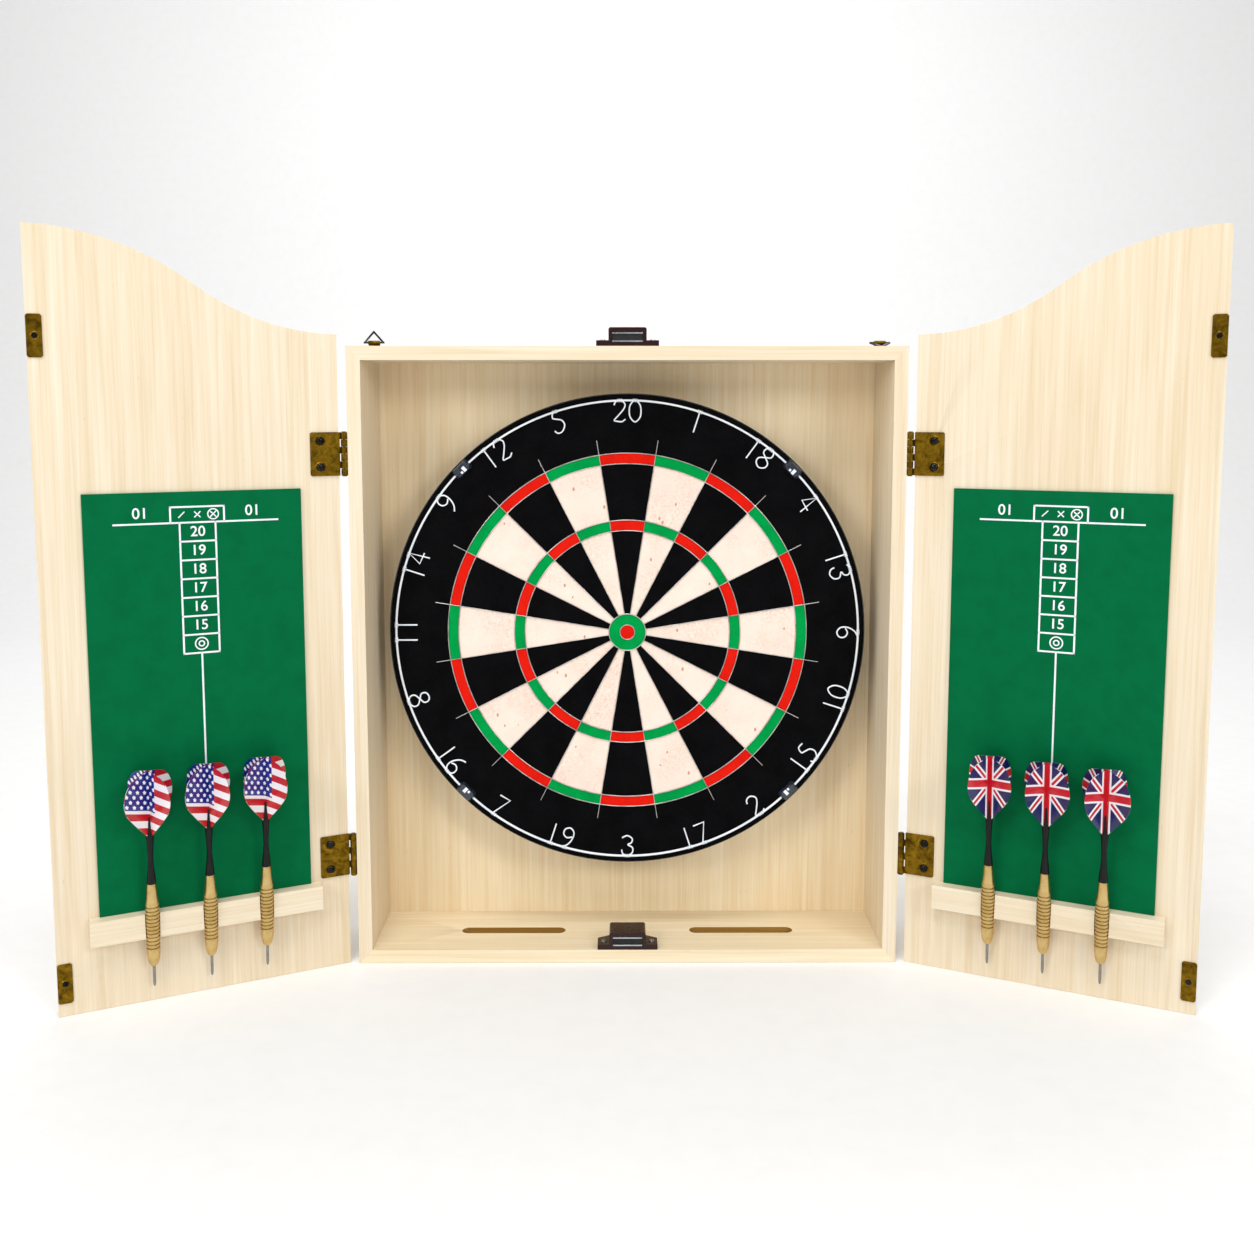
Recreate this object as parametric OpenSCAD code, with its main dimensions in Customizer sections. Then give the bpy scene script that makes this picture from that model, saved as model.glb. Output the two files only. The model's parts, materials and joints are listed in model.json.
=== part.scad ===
// Wall cabinet for a bristle dart board: two arched doors with score panels,
// dart rails and six darts, magnetic catches and two wall hangers.
// The origin is on the back face, straight behind the bull. +X is right, -Y is the
// front and +Z is up. Heights named *_h are measured from the underside of the case.

/* [Case] */
// Outer width of the case
case_w = 502; // [490:1:640]
// Outer height of the case
case_h = 572; // [540:1:720]
// Outer depth of the case, without doors
case_d = 94; // [92:1:130]
// Thickness of the side, top and bottom panels
panel_t = 12.5; // [10:0.5:18]
// Thickness of the back panel
back_t = 4; // [3:0.5:6]
// Width of the rebate that the back panel sits in
rebate_w = 6; // [4:0.5:8]
// Height of the bull above the underside of the case
bull_h = 305; // [280:1:360]
// Length of each tray groove in the bottom panel
groove_l = 100; // [60:1:130]
// Width of each tray groove
groove_w = 13; // [8:0.5:20]
// Depth of each tray groove
groove_t = 6; // [3:0.5:8]
// Distance of each groove's middle from the case's middle
groove_x = 110; // [95:1:130]
// Distance of the grooves behind the front edge
groove_y = 44; // [30:1:60]

/* [Dart board] */
// Outer diameter of the board
board_d = 451; // [420:1:455]
// Thickness of the board
board_t = 38; // [30:1:40]
// Thickness of the chipboard backing disc
backing_t = 6; // [3:0.5:10]
// Thickness of the band round the rim
band_t = 1; // [0.6:0.1:2]
// Space between the back panel and the board
board_gap = 4; // [4:0.5:8]
// Radius of the outer edge of the double ring
double_r = 170; // [160:0.5:172]
// Radius of the outer edge of the treble ring
treble_r = 107; // [100:0.5:110]
// Width of the double and treble rings
ring_w = 10; // [7:0.5:12]
// Radius of the outer bull
bull_r = 17.5; // [14:0.1:19]
// Radius of the inner bull
inner_bull_r = 7; // [5:0.05:8]
// Width and height of the divider wire
wire_t = 1; // [0.6:0.1:1.4]
// How far the radial wires run past the double ring
wire_tail = 16; // [5:1:20]
// Radius of the number ring
number_ring_r = 219; // [200:1:220]
// Thickness of the number ring's wire
number_wire_t = 2.2; // [1.8:0.1:3]
// Thickness of the numerals' wire
numeral_wire_t = 1.6; // [1.2:0.1:1.7]
// Height of a bent-wire numeral
numeral_h = 21; // [15:1:26]

/* [Doors] */
// Thickness of the doors
door_t = 12; // [9:0.5:16]
// Height of the doors at the hinge side
door_low_h = 582; // [540:1:740]
// Rise of the arched top towards the free edge
arch_rise = 83; // [40:1:110]
// Share of the arch that its lower, hollow curve takes
arch_share = 0.48; // [0.35:0.01:0.65]
// Angle that the doors stand open at rest, from closed
door_open = 155; // [95:1:175]
// Space between a closed door and the case's front edge
door_gap = 2.2; // [2.2:0.1:4]
// Space between the two closed doors
meet_gap = 1.4; // [1:0.1:4]
// Distance from the hinge axis to the door's edge
edge_gap = 4.2; // [3.8:0.1:6]

/* [Hinges] */
// Height of a hinge
hinge_l = 39; // [30:1:60]
// Height of the lower hinges' middle
hinge_low_h = 105; // [80:1:140]
// Height of the upper hinges' middle
hinge_high_h = 476; // [420:1:520]
// Radius of the hinge knuckle
knuckle_r = 2.9; // [2.5:0.1:4]
// Width of a hinge leaf from the door's edge
leaf_w = 25.5; // [20:0.5:30]
// Thickness of a hinge leaf
leaf_t = 1.2; // [0.8:0.1:1.2]
// Radius of the hinge pin
pin_r = 1.25; // [1:0.05:1.6]
// Number of knuckle segments
knuckle_n = 6; // [4:2:8]
// Distance of the leaf screws from the door's edge
leaf_screw_u = 17; // [15.5:0.5:20]
// Distance between a leaf's two screws
leaf_screw_gap = 23.5; // [16:0.5:26]

/* [Score panels and rails] */
// Distance of the score panel from the door's hinge edge
score_u = 35; // [33:1:50]
// Width of the score panel
score_w = 179; // [120:1:190]
// Height of the score panel
score_l = 363; // [200:1:380]
// Thickness of the score panel
score_t = 2.5; // [1.5:0.5:4]
// Height of the rail's underside
rail_low_h = 61; // [50:1:80]
// Height of the rail's front face
rail_h = 22; // [15:1:30]
// Length of the rail
rail_l = 196; // [160:1:200]
// How far the rail stands off the door
rail_t = 13; // [12:0.5:16]

/* [Darts] */
// Distance between neighbouring darts
dart_gap = 48; // [42:1:54]
// Height of the dart tips
dart_tip_h = 15.5; // [15:0.5:24]
// Lean of the darts away from the door
dart_lean = 5.5; // [5:0.1:7]
// Visible length of the steel point
point_l = 20; // [15:1:30]
// Radius of the steel point
point_r = 1.3; // [0.9:0.05:1.4]
// Length of the point inside the barrel
point_root = 10; // [6:1:15]
// Length of the barrel
barrel_l = 76.5; // [50:0.5:80]
// Largest radius of the barrel
barrel_r = 5.7; // [4:0.1:6]
// Length of the shaft below the flight
shaft_l = 44; // [30:1:50]
// Length of the shaft's fork inside the flight
fork_l = 17; // [10:1:20]
// Length of the flight
flight_l = 58; // [45:1:60]
// Reach of each wing from the dart's axis
flight_r = 25.5; // [18:0.5:26]
// Thickness of a wing
wing_t = 0.5; // [0.4:0.1:0.8]
// Turn of the wings from straight on
flight_turn = 52; // [40:1:52]

/* [Catches and strike plates] */
// Width of a catch over its ears
catch_w = 56; // [50:1:64]
// Width of the catch's magnet block
block_w = 34; // [28:1:40]
// Height of the catch
catch_h = 16.5; // [13:0.5:18]
// Depth of the catch
catch_d = 24; // [18:1:28]
// Thickness of the catch's ears
ear_t = 5; // [3:0.5:6]
// Width of a strike plate
strike_w = 12; // [10:0.5:16]
// Height of a strike plate
strike_l = 35; // [28:1:38]
// Thickness of a strike plate
strike_t = 0.9; // [0.6:0.1:1]
// Height of the lower strike plates' middle
strike_low_h = 29; // [26:1:34]
// Height of the upper strike plates' middle
strike_high_h = 575.5; // [560:0.5:720]

/* [Hangers] */
// Distance of each hanger's middle from the case's side
hanger_x = 8; // [8:0.5:60]
// Width of a hanger ring
hanger_w = 20; // [16:1:26]
// Height of a hanger ring over its eye
hanger_l = 12; // [11:1:20]
// Height of a hanger's eye over the case
eye_h = 7.2; // [6:0.2:10]
// Radius of the hanger ring's wire
hanger_wire_r = 0.9; // [0.7:0.05:1.2]

/* [Fits] */
// Radial running clearance of hinge pins and hanger eyes
run_fit = 0.05; // [0.02:0.01:0.1]
// Clearance round a dart's barrel in its rail
dart_fit = 0.25; // [0.15:0.05:0.4]
// Clearance between pieces that swing past each other
swing_fit = 0.3; // [0.2:0.05:0.6]
// Clearance of a screw or a let-in piece in its hole
seat_fit = 0.05; // [0.02:0.01:0.1]

/* [Hidden] */
$fn = 48;
sides = ["left", "right"];

// Case
case_low = -bull_h;
case_high = case_h - bull_h;
front_y = -case_d;
inner_w = case_w - 2 * panel_t;
inner_h = case_h - 2 * panel_t;

// Board, with its face towards -Y
board_r = board_d / 2;
board_back_y = -back_t - board_gap;
board_face_y = board_back_y - board_t;
sector = 360 / 20;
clip_w = 20;
clip_d = 11;
clip_t = 5;
numbers = [20, 1, 18, 4, 13, 6, 10, 15, 2, 17, 3, 19, 7, 16, 8, 11, 14, 9, 12, 5];
digit_w = 0.55;
digit_gap = 0.3;

// Doors. A door's own frame has its origin on the hinge axis, +X along the door
// and -Y out of its inner face.
hinge_off = knuckle_r + swing_fit;
axis_x = case_w / 2 + hinge_off;
axis_y = front_y - door_gap + hinge_off;
door_w = axis_x - edge_gap - meet_gap / 2;
door_face = hinge_off;
door_turn = door_open - 180;
arch_r = (door_w * door_w + arch_rise * arch_rise) / (2 * arch_rise);
arch_low_r = arch_r * arch_share;
arch_high_r = arch_r - arch_low_r;
arch_x = door_w * arch_share;
arch_high_h = door_low_h + arch_rise;

// Hinges
hinge_hs = [hinge_low_h, hinge_high_h];
segment_l = hinge_l / knuckle_n;
leaf_start = knuckle_r + 0.5;
leaf_end = edge_gap + leaf_w;
screw_head_r = 3.2;
screw_head_t = 2.1;
screw_r = 1.5;
screw_l = 9;
pin_head_r = 2.1;
pin_head_t = 0.6;
pin_head_gap = 0.15;

// Board bracket, a shallow box with a slot for the board's screw
bracket_w = 60;
bracket_l = 70;
bracket_t = 1.2;
boss_w = 36;
boss_l = 52;
boss_t = board_gap - 0.4;
slot_w = 2 * screw_r + 0.6;
hang_head_r = 6;
hang_head_t = 1.3;
hang_screw_l = 20;
bracket_screw_xz = [[-24, 22], [24, 22], [0, -28]];
bracket_head_t = 1.2;
bracket_screw_l = 3;

// Rails and darts
score_low_h = rail_low_h + rail_h;
rail_mid_h = rail_low_h + rail_h / 2;
rail_u = score_u + score_w / 2 - rail_l / 2;
dart_mid_u = score_u + score_w / 2;
dart_off = rail_t - 1;
barrel_top = point_l + barrel_l;
shaft_top = barrel_top + shaft_l;
joint_r = 3.9;
waist_r = 2.2;
shoulder_r = 3.3;
spigot_r = 2;
spigot_l = 6;
fork_tip_r = 1.3;
grip_low = 17;
grip_top = 20;
ring_pitch = 3.5;
ring_count = floor((barrel_l - grip_low - grip_top) / ring_pitch) + 1;
ring_groove = 0.9;

// Catches
block_wall = 3.4;
pole_t = 1.1;
magnet_t = 6;
magnet_set = 0.6;
cavity_d = 16;
cavity_w = block_w - 2 * block_wall;
ear_d = catch_d * 0.65;
ear_root_d = catch_d * 0.9;
cavity_h = 2 * pole_t + magnet_t + 2 * seat_fit;
cavity_low = 3.6;
ear_screw_x = (catch_w + block_w) / 4;
ear_screw_y = 8;
small_screw_r = 1.2;
small_screw_l = 8;
small_head_r = 2.4;
small_head_t = 1.3;
strike_boss_r = 4.4;
strike_boss_t = 0.5;
strike_head_r = 2.1;
strike_head_t = 0.4;
strike_u = door_w - strike_w / 2 - 0.2;

// Hangers
eye_wall = 1;
eye_r = hanger_wire_r + run_fit + eye_wall;
eye_y = -4;
hanger_fold = 115;
strap_w = 11;
strap_l = 12;
strap_t = 0.9;
strap_screw_y = 4.7;

function up(h) = h - bull_h;
function along(p, q) = (q - p) / norm(q - p);
function left_of(v) = [-v[1], v[0]];

// One side of a ribbon of half width w along the points p, mitred at its corners
function edge(p, w) = [for (i = [0:len(p) - 1])
    let (a = along(p[max(i - 1, 0)], p[max(i, 1)]),
         b = along(p[min(i, len(p) - 2)], p[min(i + 1, len(p) - 1)]),
         n = left_of(a) + left_of(b))
    p[i] + n * (2 * w / (n * n))];
function ribbon(p, w) = concat(edge(p, w), edge([for (i = [len(p) - 1:-1:0]) p[i]], w));

module front_to_back(l) rotate([90, 0, 0]) linear_extrude(l) children();
module each_side() for (s = [0, 1]) mirror([s, 0, 0]) children();
module on_side(side) mirror([side == "left" ? 1 : 0, 0, 0]) children();
module on_door(side) on_side(side)
    translate([axis_x, axis_y, 0]) rotate([0, 0, door_turn]) children();

// ---------------------------------------------------------------- case

// Outline of one mitred panel, in its own X and Y, with the outer edge at y = 0
module mitred(l) polygon([[-l / 2, 0], [l / 2, 0],
                          [l / 2 - panel_t, panel_t], [-l / 2 + panel_t, panel_t]]);

module rebate()
    translate([-inner_w / 2 - rebate_w, -back_t, up(panel_t - rebate_w)])
        cube([inner_w + 2 * rebate_w, back_t + 1, inner_h + 2 * rebate_w]);

module side_panel() difference() {
    translate([case_w / 2, 0, (case_low + case_high) / 2])
        rotate([90, 0, 0]) rotate([0, 0, 90]) linear_extrude(case_d) mitred(case_h);
    rebate();
    for (h = hinge_hs) case_screws(h, screw_r + seat_fit, 0);
    hanger_screw(small_screw_r + seat_fit, 0);
}

module left_side_panel() color("BurlyWood") mirror([1, 0, 0]) side_panel();
module right_side_panel() color("BurlyWood") side_panel();

module top_panel() color("Wheat") difference() {
    translate([0, 0, case_high]) mirror([0, 0, 1]) front_to_back(case_d) mitred(case_w);
    rebate();
    translate([0, 0, case_high]) catch_screws(small_screw_r + seat_fit, 0);
    each_side() hanger_screw(small_screw_r + seat_fit, 0);
}

module groove() translate([0, 0, up(panel_t - groove_t)]) {
    r = groove_w / 2;
    l = groove_l - groove_w;
    translate([-l / 2, -r, 0]) cube([l, groove_w, groove_t + 1]);
    for (x = [-l / 2, l / 2]) translate([x, 0, 0]) cylinder(r = r, h = groove_t + 1);
}

module bottom_panel() color("Wheat") difference() {
    translate([0, 0, case_low]) front_to_back(case_d) mitred(case_w);
    rebate();
    each_side() translate([groove_x, front_y + groove_y, 0]) groove();
    translate([0, 0, up(panel_t)]) catch_screws(small_screw_r + seat_fit, 0);
}

module back_panel() color("BlanchedAlmond") difference() {
    translate([-inner_w / 2 - rebate_w, -back_t, up(panel_t - rebate_w)])
        cube([inner_w + 2 * rebate_w, back_t, inner_h + 2 * rebate_w]);
    bracket_holes();
}

// ---------------------------------------------------------------- board

module disc(r, y, t) translate([0, y, 0]) rotate([90, 0, 0]) cylinder(r = r, h = t, $fn = 96);
module band_2d(r_in, r_out) difference() {
    circle(r = r_out, $fn = 96);
    circle(r = r_in, $fn = 96);
}

module board_backing() color("Peru") difference() {
    disc(board_r - band_t, board_back_y, backing_t);
    disc(screw_r + seat_fit, board_back_y + 1, backing_t + 1);
}

module sisal_board() color("DarkSlateGray") difference() {
    disc(board_r - band_t, board_back_y - backing_t, board_t - backing_t);
    disc(screw_r + seat_fit, board_back_y - backing_t + 1, hang_screw_l - backing_t + 1 + seat_fit);
}

module rim_band() color("Black")
    translate([0, board_back_y, 0]) front_to_back(board_t) band_2d(board_r - band_t, board_r);

module wire_spider() color("Silver") translate([0, board_face_y, 0]) front_to_back(wire_t) {
    for (r = [double_r, double_r - ring_w, treble_r, treble_r - ring_w, bull_r, inner_bull_r])
        band_2d(r - wire_t / 2, r + wire_t / 2);
    for (i = [0:19]) rotate(sector * (i + 0.5)) translate([-wire_t / 2, bull_r])
        square([wire_t, double_r + wire_tail - bull_r]);
}

// Strokes of a digit, one wide and two tall, as lists of points
function digit(n) =
    n == 0 ? [[[0.5, 2], [0.1, 1.7], [0, 1], [0.1, 0.3], [0.5, 0]],
              [[0.5, 2], [0.9, 1.7], [1, 1], [0.9, 0.3], [0.5, 0]]] :
    n == 1 ? [[[0.5, 0], [0.5, 2]]] :
    n == 2 ? [[[0, 1.5], [0.2, 2], [0.8, 2], [1, 1.6], [1, 1.2], [0, 0], [1, 0]]] :
    n == 3 ? [[[0, 2], [1, 2], [0.4, 1.2], [1, 0.9], [1, 0.3], [0.7, 0], [0.2, 0], [0, 0.4]]] :
    n == 4 ? [[[0.7, 0], [0.7, 2], [0, 0.6]], [[0, 0.6], [1.1, 0.6]]] :
    n == 5 ? [[[0.9, 2], [0.1, 2], [0.1, 1.2], [0.7, 1.2], [1, 0.9], [1, 0.3], [0.7, 0], [0, 0]]] :
    n == 6 ? [[[0.8, 2], [0.2, 1.4], [0, 0.9], [0, 0.3], [0.3, 0], [0.7, 0], [1, 0.3], [1, 0.8],
               [0.7, 1.1], [0.35, 1.1]]] :
    n == 7 ? [[[0, 2], [1, 2], [0.3, 0]]] :
    n == 8 ? [[[0.5, 1.1], [0.05, 1.4], [0.05, 1.8], [0.5, 2]],
              [[0.5, 1.1], [0.95, 1.4], [0.95, 1.8], [0.5, 2]],
              [[0.5, 1.1], [0, 0.8], [0, 0.3], [0.5, 0]],
              [[0.5, 1.1], [1, 0.8], [1, 0.3], [0.5, 0]]] :
             [[[0.2, 0], [0.8, 0.6], [1, 1.1], [1, 1.7], [0.7, 2], [0.3, 2], [0, 1.7], [0, 1.2],
               [0.3, 0.9], [0.65, 0.9]]];

// A number, one or two digits, centred on X with its foot at y = 0
module numeral(n) {
    ds = n > 9 ? [floor(n / 10), n % 10] : [n];
    s = numeral_h / 2;
    w = numeral_h * digit_w;
    pitch = w * (1 + digit_gap);
    for (i = [0:len(ds) - 1]) translate([(i - (len(ds) - 1) / 2) * pitch - w / 2, 0])
        for (stroke = digit(ds[i])) linear_extrude(numeral_wire_t)
            polygon(ribbon([for (p = stroke) [p[0] * w, p[1] * s]], numeral_wire_t / 2));
}

// Numerals stand upright in both halves: top at the ring above, foot at the ring below
module number_ring() color("White") translate([0, board_face_y, 0]) {
    front_to_back(number_wire_t)
        band_2d(number_ring_r - number_wire_t / 2, number_ring_r + number_wire_t / 2);
    for (i = [0:19]) let (a = sector * i, upper = cos(a) > -0.01)
        translate([0, (numeral_wire_t - number_wire_t) / 2, 0]) rotate([90, upper ? a : a + 180, 0])
            translate([0, upper ? number_ring_r - numeral_h : -number_ring_r]) numeral(numbers[i]);
}

module ring_clips() color("DimGray") for (a = [45:90:315])
    rotate([0, a, 0]) translate([-clip_w / 2, board_face_y - clip_t, number_ring_r - clip_d / 2])
        difference() {
            cube([clip_w, clip_t, clip_d]);
            translate([-1, clip_t - number_wire_t - 2 * seat_fit, 0])
                cube([clip_w + 2, number_wire_t + 1, clip_d / 2 + number_wire_t / 2 + 1]);
        }

module bracket_spots() for (p = bracket_screw_xz)
    translate([p[0], -back_t, p[1]]) rotate([90, 0, 0]) children();
module bracket_holes() bracket_spots() translate([0, 0, -bracket_screw_l - seat_fit])
    cylinder(r = screw_r + seat_fit, h = 2 * bracket_screw_l);

module board_bracket() color("Gray") difference() {
    union() {
        translate([-bracket_w / 2, -back_t - bracket_t, -bracket_l / 2])
            cube([bracket_w, bracket_t, bracket_l]);
        translate([-boss_w / 2, -back_t - boss_t, bracket_l / 2 - boss_l])
            cube([boss_w, boss_t, boss_l]);
    }
    translate([-boss_w / 2 + bracket_t, -back_t - boss_t + bracket_t, -hang_head_r - 1])
        cube([boss_w - 2 * bracket_t, boss_t, bracket_l]);
    translate([-slot_w / 2, -back_t - 2 * boss_t, 0]) cube([slot_w, 3 * boss_t, bracket_l]);
    translate([0, -back_t + 1, 0]) rotate([90, 0, 0]) cylinder(r = slot_w / 2, h = 3 * boss_t);
    bracket_spots() translate([0, 0, -1]) cylinder(r = screw_r + seat_fit, h = 2 * bracket_t);
}

module bracket_screws() color("DarkGray") {
    bracket_spots() {
        translate([0, 0, -bracket_screw_l]) cylinder(r = screw_r, h = bracket_screw_l + bracket_t);
        translate([0, 0, bracket_t]) cylinder(r = 2 * screw_r, h = bracket_head_t);
    }
    head_y = -back_t - boss_t + bracket_t + hang_head_t + seat_fit;
    disc(hang_head_r, head_y, hang_head_t);
    disc(screw_r, head_y, hang_screw_l - board_gap + boss_t);
}

// ---------------------------------------------------------------- catches

module catch_housing() difference() {
    union() {
        linear_extrude(ear_t) polygon([
            [-catch_w / 2, 0], [catch_w / 2, 0], [catch_w / 2, ear_d],
            [block_w / 2, ear_root_d], [-block_w / 2, ear_root_d], [-catch_w / 2, ear_d]]);
        rotate([90, 0, 0]) translate([0, 0, -catch_d]) linear_extrude(catch_d) {
            translate([-block_w / 2, 0]) square([block_w, catch_h - 2]);
            translate([-block_w / 2 + 2, 0]) square([block_w - 4, catch_h]);
            for (s = [-1, 1]) translate([s * (block_w / 2 - 2), catch_h - 2]) circle(r = 2);
        }
    }
    translate([-cavity_w / 2 - seat_fit, -1, cavity_low])
        cube([cavity_w + 2 * seat_fit, cavity_d + 1, cavity_h]);
    each_side() translate([ear_screw_x, ear_screw_y, -1])
        cylinder(r = small_screw_r + seat_fit, h = ear_t + 2);
}

module catches() for (z = [up(panel_t), case_high]) translate([0, front_y, z]) children();
module catch_screws(r, head) each_side() translate([ear_screw_x, front_y + ear_screw_y, 0]) {
    translate([0, 0, -small_screw_l]) cylinder(r = r, h = small_screw_l + ear_t);
    if (head > 0) translate([0, 0, ear_t]) cylinder(r = head, h = small_head_t);
}

module top_catch_housing() color("Maroon") translate([0, front_y, case_high]) catch_housing();
module bottom_catch_housing() color("Maroon") translate([0, front_y, up(panel_t)]) catch_housing();

module catch_magnets() color("Black") catches()
    translate([-cavity_w / 2, magnet_set, cavity_low + pole_t + seat_fit])
        cube([cavity_w, cavity_d - magnet_set, magnet_t]);

module catch_pole_plates() color("Silver") catches()
    for (z = [0, pole_t + magnet_t + 2 * seat_fit]) translate([-cavity_w / 2, 0, cavity_low + z])
        cube([cavity_w, cavity_d, pole_t]);

module small_screws() color("DarkGray") {
    for (z = [up(panel_t), case_high]) translate([0, 0, z]) catch_screws(small_screw_r, small_head_r);
    each_side() hanger_screw(small_screw_r, small_head_r);
}

// ---------------------------------------------------------------- hinges

// Knuckle segments of one leaf along Z from z = 0, every second one from first
module knuckles(first, bore) for (i = [first:2:knuckle_n - 1])
    translate([0, 0, i * segment_l + swing_fit / 2]) difference() {
        union() {
            cylinder(r = knuckle_r, h = segment_l - swing_fit);
            translate([0, hinge_off - leaf_t, 0]) cube([leaf_start + 1, leaf_t, segment_l - swing_fit]);
        }
        translate([0, 0, -1]) cylinder(r = bore, h = segment_l + 2);
    }

// One leaf in the door's own frame
module leaf(first, bore) {
    difference() {
        translate([leaf_start, hinge_off - leaf_t, 0]) cube([leaf_end - leaf_start, leaf_t, hinge_l]);
        for (s = [-1, 1]) translate([edge_gap + leaf_screw_u, 0, hinge_l / 2 + s * leaf_screw_gap / 2])
            rotate([-90, 0, 0]) cylinder(r = screw_r + seat_fit, h = 2 * hinge_off);
    }
    knuckles(first, bore);
}

// Screws of one leaf, in the door's own frame, with the leaf's foot at z = 0
module leaf_screws(r, head) for (s = [-1, 1])
    translate([edge_gap + leaf_screw_u, hinge_off - leaf_t, hinge_l / 2 + s * leaf_screw_gap / 2]) {
        rotate([-90, 0, 0]) cylinder(r = r, h = screw_l + leaf_t);
        if (head > 0) intersection() {
            rotate([90, 0, 0]) cylinder(r = head, h = screw_head_t);
            translate([0, dome_r(head) - screw_head_t, 0]) sphere(r = dome_r(head), $fn = 48);
        }
    }
function dome_r(head) = (head * head + screw_head_t * screw_head_t) / (2 * screw_head_t);

// The case's leaf is the door's leaf turned to lie on the side panel
module case_frame(h) translate([axis_x, axis_y, up(h - hinge_l / 2)]) rotate([0, 0, 90]) children();
module case_screws(h, r, head) case_frame(h) leaf_screws(r, head);

module case_hinge_leaves() color("DarkGoldenrod") {
    for (h = hinge_hs) {
        case_frame(h) leaf(1, pin_r + seat_fit);
        mirror([1, 0, 0]) case_frame(h) leaf(0, pin_r + seat_fit);
    }
}

module case_hinge_screws() color("DarkSlateGray") each_side()
    for (h = hinge_hs) case_screws(h, screw_r, screw_head_r);

module hinge_pin() {
    half = hinge_l / 2 - swing_fit / 2 + pin_head_gap;
    translate([0, 0, -half]) cylinder(r = pin_r, h = 2 * half);
    for (s = [0, 1]) mirror([0, 0, s]) translate([0, 0, half])
        cylinder(r = pin_head_r, h = pin_head_t);
}

module hinge_pins() color("Goldenrod") each_side()
    for (h = hinge_hs) translate([axis_x, axis_y, up(h)]) hinge_pin();

// ---------------------------------------------------------------- hangers

module hanger_place() translate([case_w / 2 - hanger_x, eye_y, case_high + eye_h]) children();
module hanger_screw(r, head)
    translate([case_w / 2 - hanger_x, eye_y - strap_screw_y, case_high]) {
        translate([0, 0, -small_screw_l]) cylinder(r = r, h = small_screw_l + strap_t);
        if (head > 0) translate([0, 0, strap_t]) cylinder(r = head, h = small_head_t);
    }

module hanger_straps() color("DarkGoldenrod") each_side() difference() {
    hanger_place() translate([-strap_w / 2, 0, 0]) {
        rotate([0, 90, 0]) cylinder(r = eye_r, h = strap_w);
        translate([0, eye_r - strap_t, -eye_h]) cube([strap_w, strap_t, eye_h]);
        translate([0, -strap_l, -eye_h]) cube([strap_w, strap_l + eye_r, strap_t]);
    }
    hanger_place() translate([-strap_w, 0, 0]) rotate([0, 90, 0])
        cylinder(r = hanger_wire_r + run_fit, h = 2 * strap_w);
    hanger_screw(small_screw_r + seat_fit, 0);
}

// A triangular ring that stands on its eye, in the eye's own frame
module hanger_ring() {
    a = hanger_w / 2 - hanger_wire_r;
    t = 2 * hanger_wire_r - 0.2;
    translate([-hanger_w / 2, 0, 0]) rotate([0, 90, 0]) cylinder(r = hanger_wire_r, h = hanger_w);
    translate([0, t / 2, 0]) front_to_back(t)
        polygon(ribbon([[-a, 0], [0, hanger_l - 2 * hanger_wire_r], [a, 0]], hanger_wire_r));
}

module left_hanger_ring() color("DimGray") mirror([1, 0, 0]) hanger_place() hanger_ring();
module right_hanger_ring() color("DimGray") hanger_place() rotate([hanger_fold, 0, 0]) hanger_ring();

// ---------------------------------------------------------------- doors

module door_outline() {
    square([door_w, door_low_h]);
    difference() {
        translate([0, door_low_h - 1]) square([arch_x, arch_rise * arch_share + 1]);
        translate([0, door_low_h + arch_low_r]) circle(r = arch_low_r, $fn = 180);
    }
    intersection() {
        translate([arch_x, door_low_h - 1]) square([door_w - arch_x, arch_rise + 1]);
        translate([door_w, arch_high_h - arch_high_r]) circle(r = arch_high_r, $fn = 180);
    }
}

module door_panel(side) color("BlanchedAlmond") on_door(side) difference() {
    translate([edge_gap, door_face + door_t, case_low]) front_to_back(door_t) door_outline();
    for (h = hinge_hs) translate([0, 0, up(h - hinge_l / 2)]) leaf_screws(screw_r + seat_fit, 0);
    strike_spots() cylinder(r = small_screw_r + seat_fit, h = small_screw_l + seat_fit);
}

module score_panel(side) color("SeaGreen") on_door(side)
    translate([edge_gap + score_u, door_face - score_t, up(score_low_h)])
        cube([score_w, score_t, score_l]);

module dart_rail(side) color("Wheat") on_door(side) difference() {
    translate([edge_gap + rail_u, door_face - rail_t, up(rail_low_h)])
        cube([rail_l, rail_t, rail_h]);
    for (i = [1:3]) dart_place(i) cylinder(r = barrel_r + dart_fit, h = barrel_top);
}

// Screw spots of the strike plates, on the door's face, with +Z into the door
module strike_spots() for (h = [strike_low_h, strike_high_h])
    translate([edge_gap + strike_u, door_face, up(h)]) rotate([-90, 0, 0]) children();

module strike_plates(side) color("DarkGoldenrod") on_door(side) strike_spots() difference() {
    c = 1.5;
    x = strike_w / 2;
    y = strike_l / 2;
    translate([0, 0, -strike_t]) union() {
        linear_extrude(strike_t) polygon([[-x, c - y], [c - x, -y], [x - c, -y], [x, c - y],
                                          [x, y - c], [x - c, y], [c - x, y], [-x, y - c]]);
        translate([0, 0, -strike_boss_t]) cylinder(r = strike_boss_r, h = strike_boss_t);
    }
    translate([0, 0, -2]) cylinder(r = small_screw_r + seat_fit, h = 3);
}

module door_screws(side) color("DarkSlateGray") on_door(side) {
    for (h = hinge_hs) translate([0, 0, up(h - hinge_l / 2)]) leaf_screws(screw_r, screw_head_r);
    strike_spots() translate([0, 0, -strike_t - strike_boss_t]) {
        cylinder(r = small_screw_r, h = small_screw_l + strike_t + strike_boss_t);
        translate([0, 0, -strike_head_t]) cylinder(r = strike_head_r, h = strike_head_t);
    }
}

module door_leaves(side) color("DarkGoldenrod") on_door(side) for (h = hinge_hs)
    translate([0, 0, up(h - hinge_l / 2)]) leaf(side == "right" ? 0 : 1, pin_r + run_fit);

// ---------------------------------------------------------------- darts

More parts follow.
